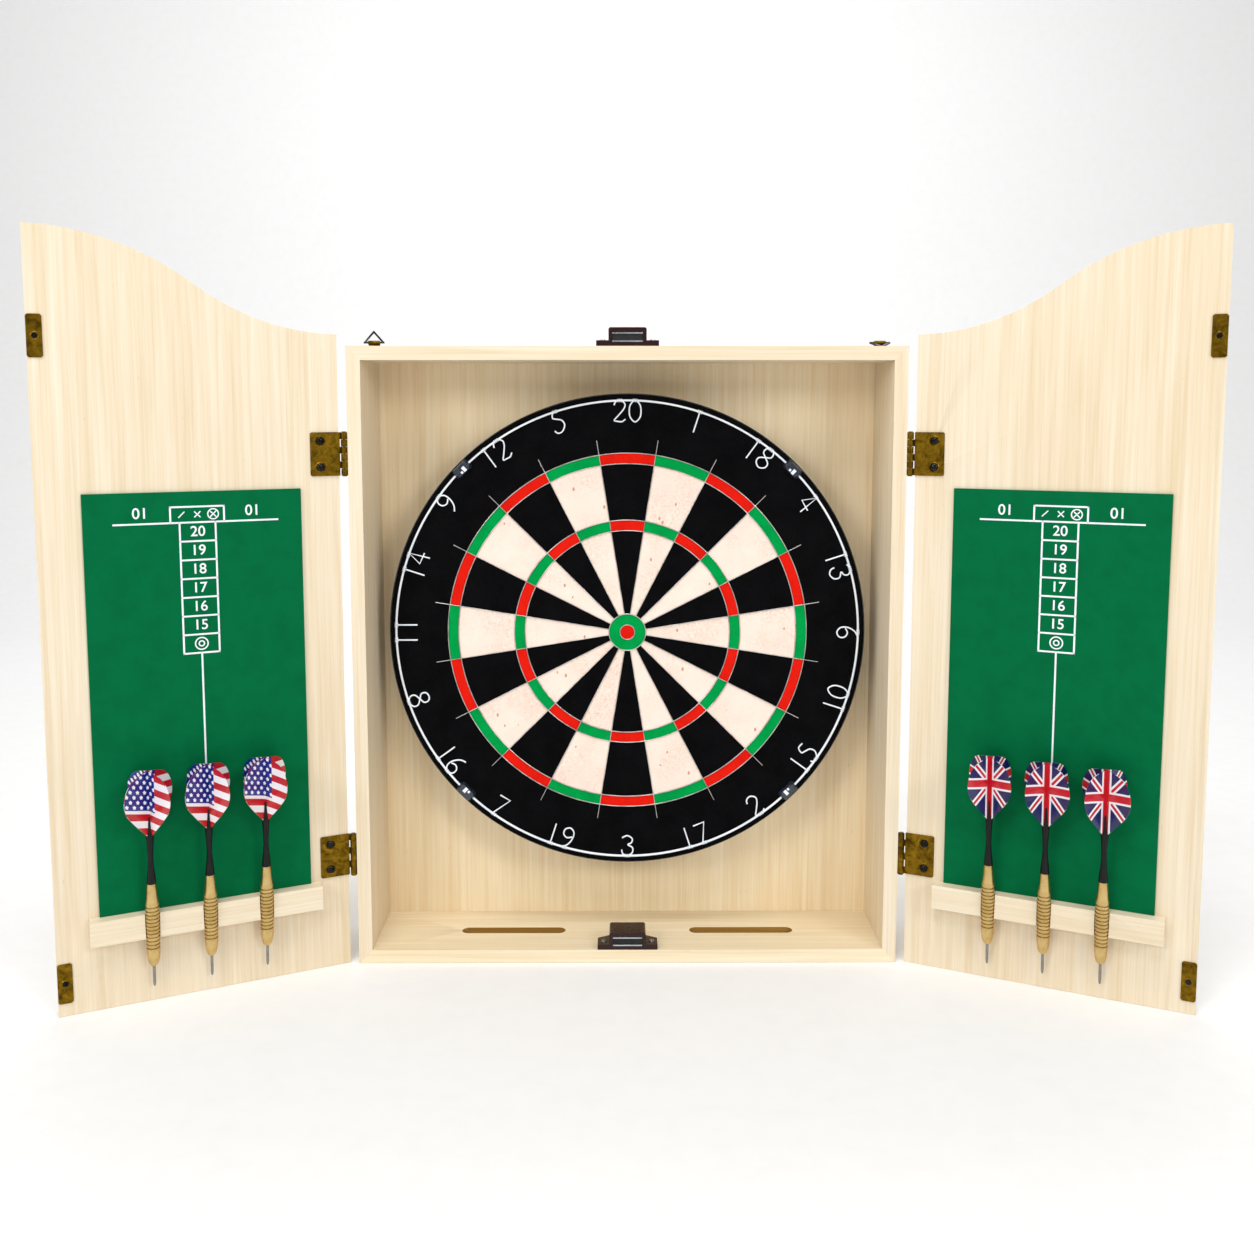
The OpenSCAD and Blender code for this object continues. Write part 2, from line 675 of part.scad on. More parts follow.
// A dart's own frame has its tip at the origin and its axis along +Z. Its axis
// crosses the rail's mid height at dart_off from the door.
module dart_place(i) {
    drop = rail_mid_h - dart_tip_h;
    translate([edge_gap + dart_mid_u + (i - 2) * dart_gap,
               door_face - dart_off + drop * tan(dart_lean), up(dart_tip_h)])
        rotate([dart_lean, 0, 0]) children();
}

module point() {
    sharp = 6;
    cylinder(r1 = 0.2, r2 = point_r, h = sharp);
    translate([0, 0, sharp]) cylinder(r = point_r, h = point_l + point_root - sharp);
}

// Nose, ringed grip and slim rear of the barrel, bored for the point and the shaft
module barrel() difference() {
    rotate_extrude() polygon([
        [0, point_l], [2.2, point_l], [3.9, point_l + 4], [barrel_r - 0.4, point_l + 11],
        [barrel_r, point_l + grip_low - 1], [barrel_r, barrel_top - grip_top + 1],
        [4.9, barrel_top - 14], [joint_r, barrel_top], [0, barrel_top]]);
    for (i = [0:ring_count - 1]) translate([0, 0, point_l + grip_low + i * ring_pitch]) difference() {
        cylinder(r = barrel_r + 1, h = ring_groove);
        translate([0, 0, -1]) cylinder(r = barrel_r - 0.45, h = 3);
    }
    translate([0, 0, point_l - 1])
        cylinder(r = point_r + seat_fit, h = point_root + 1 + seat_fit);
    translate([0, 0, barrel_top - spigot_l - seat_fit])
        cylinder(r = spigot_r + seat_fit, h = spigot_l + 1);
}

module wings(t, z) for (a = [0, 90]) rotate([0, 0, a]) translate([-flight_r, -t / 2, z])
    cube([2 * flight_r, t, flight_l + 1]);

module shaft() difference() {
    union() {
        rotate_extrude() polygon([
            [0, barrel_top], [joint_r, barrel_top], [joint_r - 0.3, barrel_top + 3],
            [waist_r, barrel_top + shaft_l * 0.5], [shoulder_r, shaft_top - 2],
            [shoulder_r - 0.4, shaft_top + 1], [waist_r, shaft_top + 3],
            [fork_tip_r, shaft_top + fork_l], [0, shaft_top + fork_l]]);
        translate([0, 0, barrel_top - spigot_l]) cylinder(r = spigot_r, h = spigot_l + 1);
    }
    rotate([0, 0, flight_turn]) wings(wing_t + 2 * seat_fit, shaft_top);
}

// Outline of one wing: a narrow foot, a round lobe and a low peak at the axis
module wing_2d() {
    lobe_r = flight_l * 0.42;
    foot = shoulder_r - 0.3;
    intersection() {
        polygon([[0, 0], [foot, 0], [flight_r, flight_r - foot],
                 [flight_r, flight_l - 9], [0, flight_l]]);
        union() {
            translate([flight_r - lobe_r, flight_l * 0.57]) circle(r = lobe_r, $fn = 96);
            square([foot + 2.5, flight_l]);
            polygon([[0, 0], [foot, 0], [flight_r * 0.8, flight_l * 0.35], [0, flight_l * 0.6]]);
        }
    }
}

module flight() translate([0, 0, shaft_top + seat_fit]) rotate([0, 0, flight_turn])
    for (a = [0:90:270]) rotate([0, 0, a]) rotate([90, 0, 0])
        translate([0, 0, -wing_t / 2]) linear_extrude(wing_t) wing_2d();

module dart(side, i, part) on_door(side) dart_place(i) {
    if (part == "point") color("LightSteelBlue") point();
    if (part == "barrel") color("Goldenrod") barrel();
    if (part == "shaft") color("Black") shaft();
    if (part == "flight") color(side == "left" ? "Firebrick" : "Navy") flight();
}

left_side_panel();
right_side_panel();
top_panel();
bottom_panel();
back_panel();
sisal_board();
board_backing();
rim_band();
wire_spider();
number_ring();
ring_clips();
board_bracket();
bracket_screws();
top_catch_housing();
bottom_catch_housing();
catch_magnets();
catch_pole_plates();
small_screws();
case_hinge_leaves();
hinge_pins();
case_hinge_screws();
hanger_straps();
left_hanger_ring();
right_hanger_ring();
for (s = sides) {
    door_panel(s);
    score_panel(s);
    dart_rail(s);
    strike_plates(s);
    door_screws(s);
    door_leaves(s);
    for (i = [1:3]) for (part = ["point", "barrel", "shaft", "flight"])
        dart(s, i, part);
}
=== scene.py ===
"""Looks of the dart board cabinet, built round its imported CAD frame.

Every CAD node that shows gets a finished stand-in: the same solid with softened edges,
or a finer mesh of the same piece. Metres throughout, in the frame's own axes.
"""

import json
import math

import bmesh
import bpy
from mathutils import Matrix, Vector


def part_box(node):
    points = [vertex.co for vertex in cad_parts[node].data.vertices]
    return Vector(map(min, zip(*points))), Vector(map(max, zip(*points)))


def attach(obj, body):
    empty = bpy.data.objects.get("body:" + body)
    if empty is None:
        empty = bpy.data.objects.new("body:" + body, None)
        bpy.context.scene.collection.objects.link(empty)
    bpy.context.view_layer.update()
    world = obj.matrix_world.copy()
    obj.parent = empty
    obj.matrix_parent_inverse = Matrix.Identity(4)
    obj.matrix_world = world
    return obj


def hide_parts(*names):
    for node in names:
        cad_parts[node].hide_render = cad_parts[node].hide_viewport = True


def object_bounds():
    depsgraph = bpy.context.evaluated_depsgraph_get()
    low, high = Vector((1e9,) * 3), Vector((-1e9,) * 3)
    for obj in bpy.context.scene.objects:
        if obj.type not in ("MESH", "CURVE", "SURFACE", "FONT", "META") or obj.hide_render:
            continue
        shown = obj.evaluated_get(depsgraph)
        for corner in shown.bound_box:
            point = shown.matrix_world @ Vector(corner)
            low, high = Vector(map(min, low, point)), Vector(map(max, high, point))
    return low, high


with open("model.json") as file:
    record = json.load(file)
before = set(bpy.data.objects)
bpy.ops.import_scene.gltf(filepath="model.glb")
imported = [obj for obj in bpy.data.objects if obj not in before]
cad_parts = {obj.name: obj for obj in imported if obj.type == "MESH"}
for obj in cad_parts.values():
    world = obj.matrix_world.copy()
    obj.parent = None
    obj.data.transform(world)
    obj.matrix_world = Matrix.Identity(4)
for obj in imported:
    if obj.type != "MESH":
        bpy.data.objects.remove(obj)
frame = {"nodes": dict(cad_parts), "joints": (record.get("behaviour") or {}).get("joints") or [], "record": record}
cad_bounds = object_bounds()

MM = 0.001
SIDES = ("left", "right")
NODES = frame["nodes"]
JOINTS = {j["name"]: j for j in frame["joints"]}
BODY = {n: b for b, ns in frame["record"]["behaviour"]["bodies"].items() for n in ns}
SLOT = {s["node"]: s["material_slot"] for s in frame["record"]["subparts"]}
NUMBERS = (20, 1, 18, 4, 13, 6, 10, 15, 2, 17, 3, 19, 7, 16, 8, 11, 14, 9, 12, 5)
SECTOR = math.tau / len(NUMBERS)
Z_TO_FRONT = Matrix.Rotation(math.radians(90), 4, "X")

# Thickness of the painted score marks
PAINT = 0.16 * MM
# Half width of a scoring line
STROKE = 0.75 * MM
# Points nearer than this are one point of a CAD mesh
WELD = 2e-6
# Flats of a CAD mesh that differ by less than this are one face
FLAT_ANGLE = math.radians(1)
# Corners sharper than this shade as edges, and are bevelled
SHARP_ANGLE = math.radians(38)
BEVEL_ANGLE = math.radians(40)
# Pitch of the screws' threads, and the height of a head above which it is a dome
THREAD = 1.0 * MM
DOME_HEAD = 1.6 * MM
# The prints on the flights are laid out in millimetres, stored in tenths of a metre
PRINT_SCALE = 10


# ------------------------------------------------------------------ materials

def srgb(r, g, b):
    """A linear colour from 0..255 screen values."""
    def linear(c):
        c /= 255
        return c / 12.92 if c <= 0.04045 else ((c + 0.055) / 1.055) ** 2.4
    return (linear(r), linear(g), linear(b), 1.0)


class Paint:
    """A Principled material and the few node moves that every finish here is made of."""

    def __init__(self, name, **sockets):
        self.material = bpy.data.materials.new(name)
        self.material.use_nodes = True
        self.tree = self.material.node_tree
        self.shader = self.tree.nodes["Principled BSDF"]
        for key, value in sockets.items():
            self.shader.inputs[key.replace("_", " ")].default_value = value

    def node(self, kind, **settings):
        made = self.tree.nodes.new("ShaderNode" + kind)
        for key, value in settings.items():
            setattr(made, key, value)
        return made

    def link(self, source, target):
        if isinstance(source, (int, float, tuple)):
            target.default_value = source
        else:
            self.tree.links.new(source, target)

    def math(self, operation, a, b=0.0, c=0.0):
        made = self.node("Math", operation=operation)
        for source, target in zip((a, b, c), made.inputs):
            self.link(source, target)
        return made.outputs[0]

    def times(self, a, b):
        return self.math("MULTIPLY", a, b)

    def plus(self, a, b):
        return self.math("ADD", a, b)

    def minus(self, a, b):
        return self.math("SUBTRACT", a, b)

    def place(self, scale=(1, 1, 1), offset=(0, 0, 0)):
        """Object coordinates in metres, stretched by scale."""
        coords = self.node("TexCoord").outputs["Object"]
        mapping = self.node("Mapping")
        mapping.inputs["Scale"].default_value = scale
        mapping.inputs["Location"].default_value = offset
        self.link(coords, mapping.inputs["Vector"])
        return mapping.outputs[0]

    def noise(self, vector, scale, detail=3.0, roughness=0.5, distortion=0.0):
        made = self.node("TexNoise")
        self.link(vector, made.inputs["Vector"])
        for key, value in (("Scale", scale), ("Detail", detail), ("Roughness", roughness),
                           ("Distortion", distortion)):
            made.inputs[key].default_value = value
        return made.outputs["Fac"]

    def cells(self, vector, scale):
        made = self.node("TexVoronoi", feature="F1")
        self.link(vector, made.inputs["Vector"])
        made.inputs["Scale"].default_value = scale
        return made.outputs["Distance"]

    def span(self, value, low, high, to_low=0.0, to_high=1.0):
        made = self.node("MapRange", clamp=True)
        for source, target in zip((value, low, high, to_low, to_high), made.inputs):
            self.link(source, target)
        return made.outputs[0]

    def mix(self, share, a, b):
        made = self.node("Mix", data_type="RGBA")
        self.link(share, made.inputs["Factor"])
        self.link(a, made.inputs[6])
        self.link(b, made.inputs[7])
        return made.outputs[2]

    def colour(self, source):
        self.link(source, self.shader.inputs["Base Color"])

    def rough(self, source):
        self.link(source, self.shader.inputs["Roughness"])

    def bump(self, height, depth, strength=1.0):
        """Bump whose full height is depth metres."""
        made = self.node("Bump")
        made.inputs["Strength"].default_value = strength
        made.inputs["Distance"].default_value = depth
        self.link(height, made.inputs["Height"])
        self.link(made.outputs[0], self.shader.inputs["Normal"])


def wood(name, along, pale, deep, fleck, seed=0.0):
    """Straight-grained veneer: fine lines, broad streaks and short pores along one axis."""
    p = Paint(name, Specular_IOR_Level=0.4, Coat_Weight=0.12, Coat_Roughness=0.35)

    def stretched(by):
        scale = [1.0, 1.0, 1.0]
        scale["XYZ".index(along)] = 1.0 / by
        return p.place(tuple(scale), (seed, seed * 0.7, seed * 1.3))
    waver = p.noise(stretched(6), 9, 2)
    lines = p.noise(stretched(60), 620, 4, 0.6, 0.15)
    bands = p.noise(stretched(28), 85, 3, 0.55, 0.3)
    broad = p.noise(stretched(7), 14, 2, 0.5, 0.4)
    pores = p.noise(stretched(9), 900, 2, 0.6)
    threads = p.noise(stretched(45), 230, 3, 0.6, 0.2)
    tone = p.math("MULTIPLY_ADD", lines, 0.40, p.times(threads, 0.50))
    tone = p.plus(tone, p.times(bands, 0.30))
    tone = p.plus(tone, p.times(broad, 0.16))
    tone = p.plus(tone, p.times(waver, 0.10))
    body = p.mix(p.span(tone, 0.56, 0.94), pale, deep)
    dots = p.times(p.span(pores, 0.70, 0.80), p.span(bands, 0.45, 0.6))
    p.colour(p.mix(p.times(dots, 0.55), body, fleck))
    p.rough(p.span(lines, 0.3, 0.7, 0.34, 0.48))
    p.bump(p.minus(lines, p.times(dots, 0.8)), 0.00012, 0.35)
    return p.material


def chipboard(name):
    """Pressed chips of wood, in two browns."""
    p = Paint(name, Roughness=0.85)
    at = p.place()
    chips = p.cells(at, 420)
    p.colour(p.mix(p.span(chips, 0.1, 0.7), srgb(168, 136, 92), srgb(112, 84, 54)))
    p.bump(chips, 0.0004, 0.6)
    return p.material


def sisal(name, base, fibre, share, stain=None):
    """The cut ends of pressed fibre: tiny bristle dots with a few lying strands."""
    p = Paint(name, Specular_IOR_Level=0.04)
    at = p.place((1, 0.05, 1))
    ends = p.cells(at, 1400)
    strands = p.noise(p.place((1, 0.05, 0.35)), 900, 3, 0.65, 1.2)
    mottle = p.noise(at, 38, 4, 0.6)
    grain = p.times(p.span(ends, 0.2, 0.75), share)
    tone = p.mix(p.plus(grain, p.span(mottle, 0.35, 0.75, 0.0, share)), base, fibre)
    if stain:
        scratch = p.noise(p.place((1, 0.05, 1), (3, 0, 1)), 130, 5, 0.7, 2.6)
        from_ridge = p.math("ABSOLUTE", p.minus(scratch, 0.5))
        thin = p.minus(1.0, p.span(from_ridge, 0.0, 0.022))
        patch = p.span(p.noise(at, 22, 2), 0.42, 0.6)
        tone = p.mix(p.times(p.times(thin, patch), 0.7), tone, stain)
        flecks = p.math("LESS_THAN", p.cells(p.place((1, 0.05, 0.6), (5, 0, 2)), 95), 0.11)
        few = p.math("GREATER_THAN", p.noise(at, 60, 1), 0.52)
        tone = p.mix(p.times(p.times(flecks, few), 0.75), tone, stain)
    p.colour(tone)
    p.rough(p.span(strands, 0.3, 0.7, 0.78, 0.95))
    p.bump(p.plus(p.times(ends, -0.6), strands), 0.00025, 0.5)
    return p.material


def antique_brass(name):
    """Olive-brown clouded brass with dark specks."""
    p = Paint(name, Metallic=1.0)
    at = p.place()
    cloud = p.noise(at, 120, 5, 0.65, 0.8)
    specks = p.noise(at, 900, 3, 0.7)
    tone = p.mix(p.span(cloud, 0.36, 0.66), srgb(76, 56, 10), srgb(146, 112, 26))
    p.colour(p.mix(p.span(specks, 0.58, 0.75, 0.0, 0.7), tone, srgb(48, 35, 8)))
    p.rough(p.span(cloud, 0.3, 0.7, 0.46, 0.28))
    p.bump(specks, 0.00006, 0.5)
    return p.material


def metal(name, tone, dull, low, high, grain=500, stretch=(1, 1, 1)):
    """Bright or brushed metal with uneven polish and faint darker patches."""
    p = Paint(name, Metallic=1.0)
    at = p.place(stretch)
    fine = p.noise(at, grain, 4, 0.6)
    broad = p.noise(p.place(), 90, 3)
    p.colour(p.mix(p.span(broad, 0.4, 0.75), tone, dull))
    p.rough(p.span(fine, 0.3, 0.7, low, high))
    p.bump(fine, 0.00003, 0.4)
    return p.material


def plastic(name, tone, worn, low, high, grain=700, depth=0.00003, coat=0.0, shine=0.5):
    """Moulded plastic or paint: a slightly uneven skin and faint colour drift."""
    p = Paint(name, Coat_Weight=coat, Coat_Roughness=0.12, Specular_IOR_Level=shine)
    fine = p.noise(p.place(), grain, 3, 0.6)
    broad = p.noise(p.place(), 45, 4, 0.6)
    p.colour(p.mix(p.span(broad, 0.42, 0.75), tone, worn))
    p.rough(p.span(p.noise(p.place(), 160, 4), 0.3, 0.7, low, high))
    p.bump(fine, depth, 0.5)
    return p.material


def print_coords(p):
    """Across and up, in millimetres, on the face of a flight."""
    uv = p.node("UVMap", uv_map="print").outputs[0]
    split = p.node("SeparateXYZ")
    p.link(uv, split.inputs[0])
    to_mm = 1 / (MM * PRINT_SCALE)
    return p.times(split.outputs[0], to_mm), p.times(split.outputs[1], to_mm)


def film(name):
    """The glossy plastic sheet that both kinds of flight are printed on."""
    p = Paint(name, Roughness=0.28, Coat_Weight=0.4, Coat_Roughness=0.1, Specular_IOR_Level=0.5)
    weave = p.noise(p.place(), 1600, 2)
    p.bump(weave, 0.00002, 0.4)
    return p


def striped_film(name, stripe=6.3, canton_edge=7.5, canton_foot=22.0, dot=1.6):
    """Slanting red and white stripes with a blue field of white stars, upper left."""
    p = film(name)
    u, v = print_coords(p)
    left, right = p.math("MINIMUM", u, 0.0), p.math("MAXIMUM", u, 0.0)
    slope = p.math("MULTIPLY_ADD", left, 0.36, p.times(right, 0.08))
    level = p.plus(v, slope)
    band = p.math("GREATER_THAN", p.math("PINGPONG", p.plus(level, 3.0), stripe), stripe / 2)
    tone = p.mix(band, srgb(240, 236, 240), srgb(190, 14, 26))
    beside, above = p.math("LESS_THAN", u, canton_edge), p.math("GREATER_THAN", level, canton_foot)
    field = p.times(beside, above)
    tone = p.mix(field, tone, srgb(10, 22, 128))
    row_high, col_wide = 4.5, 7.4
    row = p.math("DIVIDE", level, row_high)
    shift = p.times(p.math("MODULO", p.math("FLOOR", row), 2.0), col_wide / 2)
    col = p.math("DIVIDE", p.plus(u, p.plus(shift, 60)), col_wide)
    dx = p.times(p.minus(p.math("FRACT", col), 0.5), col_wide)
    dy = p.times(p.minus(p.math("FRACT", row), 0.5), row_high)
    far = p.math("SQRT", p.plus(p.math("POWER", dx, 2.0), p.math("POWER", dy, 2.0)))
    turn = p.math("COSINE", p.times(p.math("ARCTAN2", dx, dy), 5.0))
    star = p.math("LESS_THAN", far, p.math("MULTIPLY_ADD", turn, 0.22, dot))
    p.colour(p.mix(p.times(star, field), tone, srgb(244, 244, 250)))
    return p.material


def crossed_film(name, centre=33.0, arm=3.3, edge=1.8):
    """Navy with a white-edged red cross and white-edged red diagonals."""
    p = film(name)
    u, v = print_coords(p)
    x = p.math("ABSOLUTE", u)
    rise = p.minus(p.math("MULTIPLY_ADD", x, -0.2, v), centre)
    y = p.math("ABSOLUTE", rise)
    slant = p.math("ABSOLUTE", p.times(p.minus(x, y), 0.7071))
    tone = p.mix(p.math("LESS_THAN", slant, 3.1), srgb(12, 22, 88), srgb(242, 242, 246))
    tone = p.mix(p.math("LESS_THAN", slant, 1.2), tone, srgb(200, 14, 32))
    near = p.math("MINIMUM", x, y)
    tone = p.mix(p.math("LESS_THAN", near, arm + edge), tone, srgb(242, 242, 246))
    p.colour(p.mix(p.math("LESS_THAN", near, arm), tone, srgb(200, 14, 32)))
    return p.material


PALE, DEEP, FLECK = srgb(241, 228, 205), srgb(222, 200, 162), srgb(160, 122, 74)
LOOK = {
    "maple": wood("maple_upright", "Z", PALE, DEEP, FLECK),
    "maple_flat": wood("maple_level", "X", PALE, DEEP, FLECK, 3.1),
    # The back and tray maple are lighter and more golden than the doors' maple: painted light and bounce for the
    # inside of the case.
    "maple_rear_painted_light": wood("rear_maple_painted_light", "Z", srgb(250, 234, 202), srgb(232, 206, 160), FLECK, 5.3),
    "maple_base_painted_light": wood("base_maple_painted_light", "X", srgb(248, 234, 204), srgb(230, 207, 166), FLECK, 9.4),
    "rail_wood": wood("rail_maple", "X", srgb(242, 230, 206), srgb(224, 203, 166), FLECK, 7.7),
    # Darker brown for the faces inside the tray grooves: painted shade in the grooves.
    "groove_painted_shade": wood("cut_core", "X", srgb(178, 138, 66), srgb(142, 104, 40), srgb(96, 64, 24), 1.9),
    "chipboard": chipboard("chipboard"),
    "black_sisal": sisal("black_sisal", srgb(3, 3, 4), srgb(15, 15, 17), 0.5),
    "cream_sisal": sisal("cream_sisal", srgb(252, 235, 222), srgb(236, 209, 192), 0.35, srgb(196, 122, 88)),
    "red_sisal": sisal("red_sisal", srgb(240, 34, 18), srgb(186, 16, 10), 0.4),
    "green_sisal": sisal("green_sisal", srgb(0, 168, 78), srgb(0, 120, 54), 0.4),
    "rim_steel": plastic("black_enamel", srgb(4, 5, 8), srgb(9, 12, 18), 0.2, 0.34, coat=0.4),
    "spider_wire": metal("drawn_wire", srgb(218, 214, 210), srgb(150, 148, 148), 0.24, 0.4),
    "white_wire": plastic("white_enamel", srgb(246, 249, 254), srgb(222, 232, 244), 0.3, 0.45),
    "clip_plastic": plastic("slate_plastic", srgb(36, 44, 58), srgb(24, 30, 42), 0.2, 0.34, coat=0.4),
    "zinc": metal("zinc", srgb(202, 210, 214), srgb(150, 158, 162), 0.22, 0.4, 420),
    "catch_plastic": plastic("brown_plastic", srgb(42, 10, 12), srgb(30, 8, 10), 0.2, 0.3, depth=0.00001,
                             coat=0.15, shine=0.3),
    "ferrite": plastic("ferrite", srgb(10, 10, 11), srgb(18, 17, 17), 0.6, 0.8),
    "antique_brass": antique_brass("antique_brass"),
    "black_screw": metal("black_oxide", srgb(50, 48, 46), srgb(26, 25, 24), 0.16, 0.32),
    "score_green": plastic("green_enamel", srgb(0, 104, 60), srgb(0, 96, 54), 0.5, 0.62, 320, 0.00005,
                            shine=0.04),
    "point_steel": metal("ground_steel", srgb(150, 150, 148), srgb(108, 108, 108), 0.28, 0.42, 900,
                         (1, 1, 0.1)),
    "dart_brass": metal("bright_brass", srgb(214, 186, 126), srgb(188, 156, 92), 0.24, 0.38, 1100),
    # Darker brass for the floors of the barrel's ring grooves: painted shade in the grooves.
    "grip_brass": metal("grip_brass", srgb(178, 148, 86), srgb(142, 112, 56), 0.36, 0.5, 1100),
    "nylon": plastic("black_nylon", srgb(9, 9, 10), srgb(17, 17, 19), 0.32, 0.46, shine=0.25),
    "flight_stripes": striped_film("striped_film"),
    "flight_cross": crossed_film("crossed_film"),
}


# ------------------------------------------------------------------ meshes

def add_object(name, data):
    made = bpy.data.objects.new(name, data)
    bpy.context.scene.collection.objects.link(made)
    return made


def new_object(name, bm, looks, world=None):
    """A mesh object from bm, smooth except at corners, placed by world."""
    mesh = bpy.data.meshes.new(name)
    bmesh.ops.recalc_face_normals(bm, faces=bm.faces)
    bm.to_mesh(mesh)
    bm.free()
    for look in looks:
        mesh.materials.append(LOOK[look])
    mesh.shade_smooth()
    mesh.set_sharp_from_angle(angle=SHARP_ANGLE)
    piece = add_object(name, mesh)
    if world:
        piece.matrix_world = world
    return piece


def settle(piece, body, slot, *replaced):
    """Attaches the piece to its body and hides the CAD nodes that it replaces."""
    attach(piece, body)
    if replaced:
        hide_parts(*replaced)
    return piece


def stand_in(node, bm, looks, world=None):
    """A piece made of bm for the CAD node, with the node's own body."""
    settle(new_object(node + "_finish", bm, looks, world), BODY[node], SLOT[node], node)


def apply_modifiers(piece):
    graph = bpy.context.evaluated_depsgraph_get()
    graph.update()
    mesh = bpy.data.meshes.new_from_object(piece.evaluated_get(graph))
    piece.modifiers.clear()
    piece.data = mesh


def round_corners(bm, thin, radius, beyond):
    """Rounds a plate's corners in plan, further out than the share beyond of its reach.

    thin is the index of the axis across the plate.
    """
    along = min(k for k in (0, 1, 2) if k != thin)
    far = max(abs(v.co[along]) for v in bm.verts)
    corner_angle = 1.2
    chosen = []
    for e in bm.edges:
        way = e.verts[1].co - e.verts[0].co
        upright = abs(way[thin]) > 0.999 * way.length
        corner = len(e.link_faces) == 2 and e.is_convex and e.calc_face_angle() > corner_angle
        if upright and corner and abs(e.verts[0].co[along]) > beyond * far:
            chosen.append(e)
    bmesh.ops.bevel(bm, geom=chosen, offset=radius, segments=5, profile=0.5, affect="EDGES")


def soften(node, width, look=None, world=None, segments=2, corner=None, extra=None):
    """The CAD node's own solid with its edges rounded by width, standing for the node.

    corner holds what round_corners needs. extra(bm) marks faces for a second look.
    """
    world = world or Matrix.Identity(4)
    bm = bmesh.new()
    bm.from_mesh(NODES[node].data)
    bm.transform(world.inverted())
    bmesh.ops.remove_doubles(bm, verts=bm.verts, dist=WELD)
    bmesh.ops.dissolve_limit(bm, angle_limit=FLAT_ANGLE, verts=bm.verts, edges=bm.edges)
    if corner:
        round_corners(bm, *corner)
    looks = [look or SLOT[node]]
    if extra:
        looks.append(extra(bm))
    piece = new_object(node + "_finish", bm, looks, world)
    bevel = piece.modifiers.new("edge", "BEVEL")
    bevel.width = width
    bevel.segments = segments
    bevel.limit_method = "ANGLE"
    bevel.angle_limit = BEVEL_ANGLE
    bevel.harden_normals = True
    apply_modifiers(piece)
    return settle(piece, BODY[node], SLOT[node], node)


def add_box(bm, low, high):
    """A box between two corners. Returns its vertices."""
    made = bmesh.ops.create_cube(bm, size=1.0)["verts"]
    low, high = Vector(low), Vector(high)
    size = Matrix.Diagonal((high - low).to_4d())
    bmesh.ops.transform(bm, verts=made, matrix=Matrix.Translation((low + high) / 2) @ size)
    return made


def add_lathe(bm, profile, steps=48, world=None):
    """Turns (radius, height) points round Z. Ends with radius 0 close to a point."""
    rings = []
    for radius, height in profile:
        if radius == 0:
            rings.append([bm.verts.new((0, 0, height))])
        else:
            rings.append([bm.verts.new((radius * math.cos(math.tau * k / steps),
                                        radius * math.sin(math.tau * k / steps), height))
                          for k in range(steps)])
    for low, high in zip(rings, rings[1:]):
        for k in range(steps):
            n = (k + 1) % steps
            corners = [low[k % len(low)], low[n % len(low)], high[n % len(high)], high[k % len(high)]]
            bm.faces.new(list(dict.fromkeys(corners)))
    if world:
        bmesh.ops.transform(bm, verts=[v for ring in rings for v in ring], matrix=world)


def rounded(profile, radius, steps=3):
    """The profile with each inner corner cut to a small arc of about that radius."""
    out = [profile[0]]
    for before, at, after in zip(profile, profile[1:], profile[2:]):
        a, b, c = Vector(before), Vector(at), Vector(after)
        reach = min(radius, (a - b).length / 2.2, (c - b).length / 2.2)
        start = b + (a - b).normalized() * reach
        end = b + (c - b).normalized() * reach
        for k in range(steps + 1):
            t = k / steps
            out.append(tuple(start * (1 - t) ** 2 + b * 2 * t * (1 - t) + end * t ** 2))
    return out + [profile[-1]]


def smooth_path(points, closed=False, steps=7):
    """A Catmull-Rom curve through the points."""
    n = len(points)

    def at(i):
        return Vector(points[i % n] if closed else points[min(max(i, 0), n - 1)])
    out = []
    for i in range(n if closed else n - 1):
        a, b, c, d = at(i - 1), at(i), at(i + 1), at(i + 2)
        for k in range(steps):
            t = k / steps
            out.append(b + ((c - a) * t + (a * 2 - b * 5 + c * 4 - d) * t ** 2
                            + (b * 3 - a - c * 3 + d) * t ** 3) / 2)
    return out if closed else out + [at(n - 1)]


def mesh_of_curve(curve):
    """The mesh of a curve or of figures. Nothing else of the curve stays in the scene."""
    drawn = add_object("drawn", curve)
    graph = bpy.context.evaluated_depsgraph_get()
    mesh = bpy.data.meshes.new_from_object(drawn.evaluated_get(graph))
    bpy.data.objects.remove(drawn)
    return mesh


def wires(name, paths, look, sides=10):
    """One mesh of round wires. Each path is (points, closed, radius)."""
    curve = bpy.data.curves.new(name, "CURVE")
    curve.dimensions = "3D"
    curve.bevel_depth = 1.0
    curve.bevel_resolution = max(1, sides // 4 - 1)
    curve.use_fill_caps = True
    for points, closed, radius in paths:
        spline = curve.splines.new("POLY")
        spline.points.add(len(points) - 1)
        for knot, p in zip(spline.points, points):
            knot.co = (*p, 1)
            knot.radius = radius
        spline.use_cyclic_u = closed
    mesh = mesh_of_curve(curve)
    mesh.materials.clear()
    mesh.materials.append(LOOK[look])
    mesh.shade_smooth()
    return add_object(name, mesh)


def circle_path(radius, steps, y):
    """Points round a circle that faces the player."""
    turns = [math.tau * k / steps for k in range(steps)]
    return [Vector((radius * math.sin(t), y, radius * math.cos(t))) for t in turns]


# ------------------------------------------------------------------ frames

def extent(points):
    """Lowest and highest corner of the points."""
    return (Vector([min(p[k] for p in points) for k in range(3)]),
            Vector([max(p[k] for p in points) for k in range(3)]))


def local_box(node, world):
    """Lowest and highest corner of a CAD node, measured in the frame world."""
    inverse = world.inverted()
    return extent([inverse @ v.co for v in NODES[node].data.vertices])


def door_frame(side):
    """Origin on the hinge axis, +X to the viewer's right along the door, +Y into it, +Z up."""
    joint = JOINTS[side + "_door_hinge"]
    closed = math.radians(joint["range_deg"][0])
    turn = (-math.pi - closed) * (1 if side == "right" else -1)
    return Matrix.Translation(Vector(joint["pos_m"])) @ Matrix.Rotation(turn, 4, "Z")


DOOR = {side: door_frame(side) for side in SIDES}


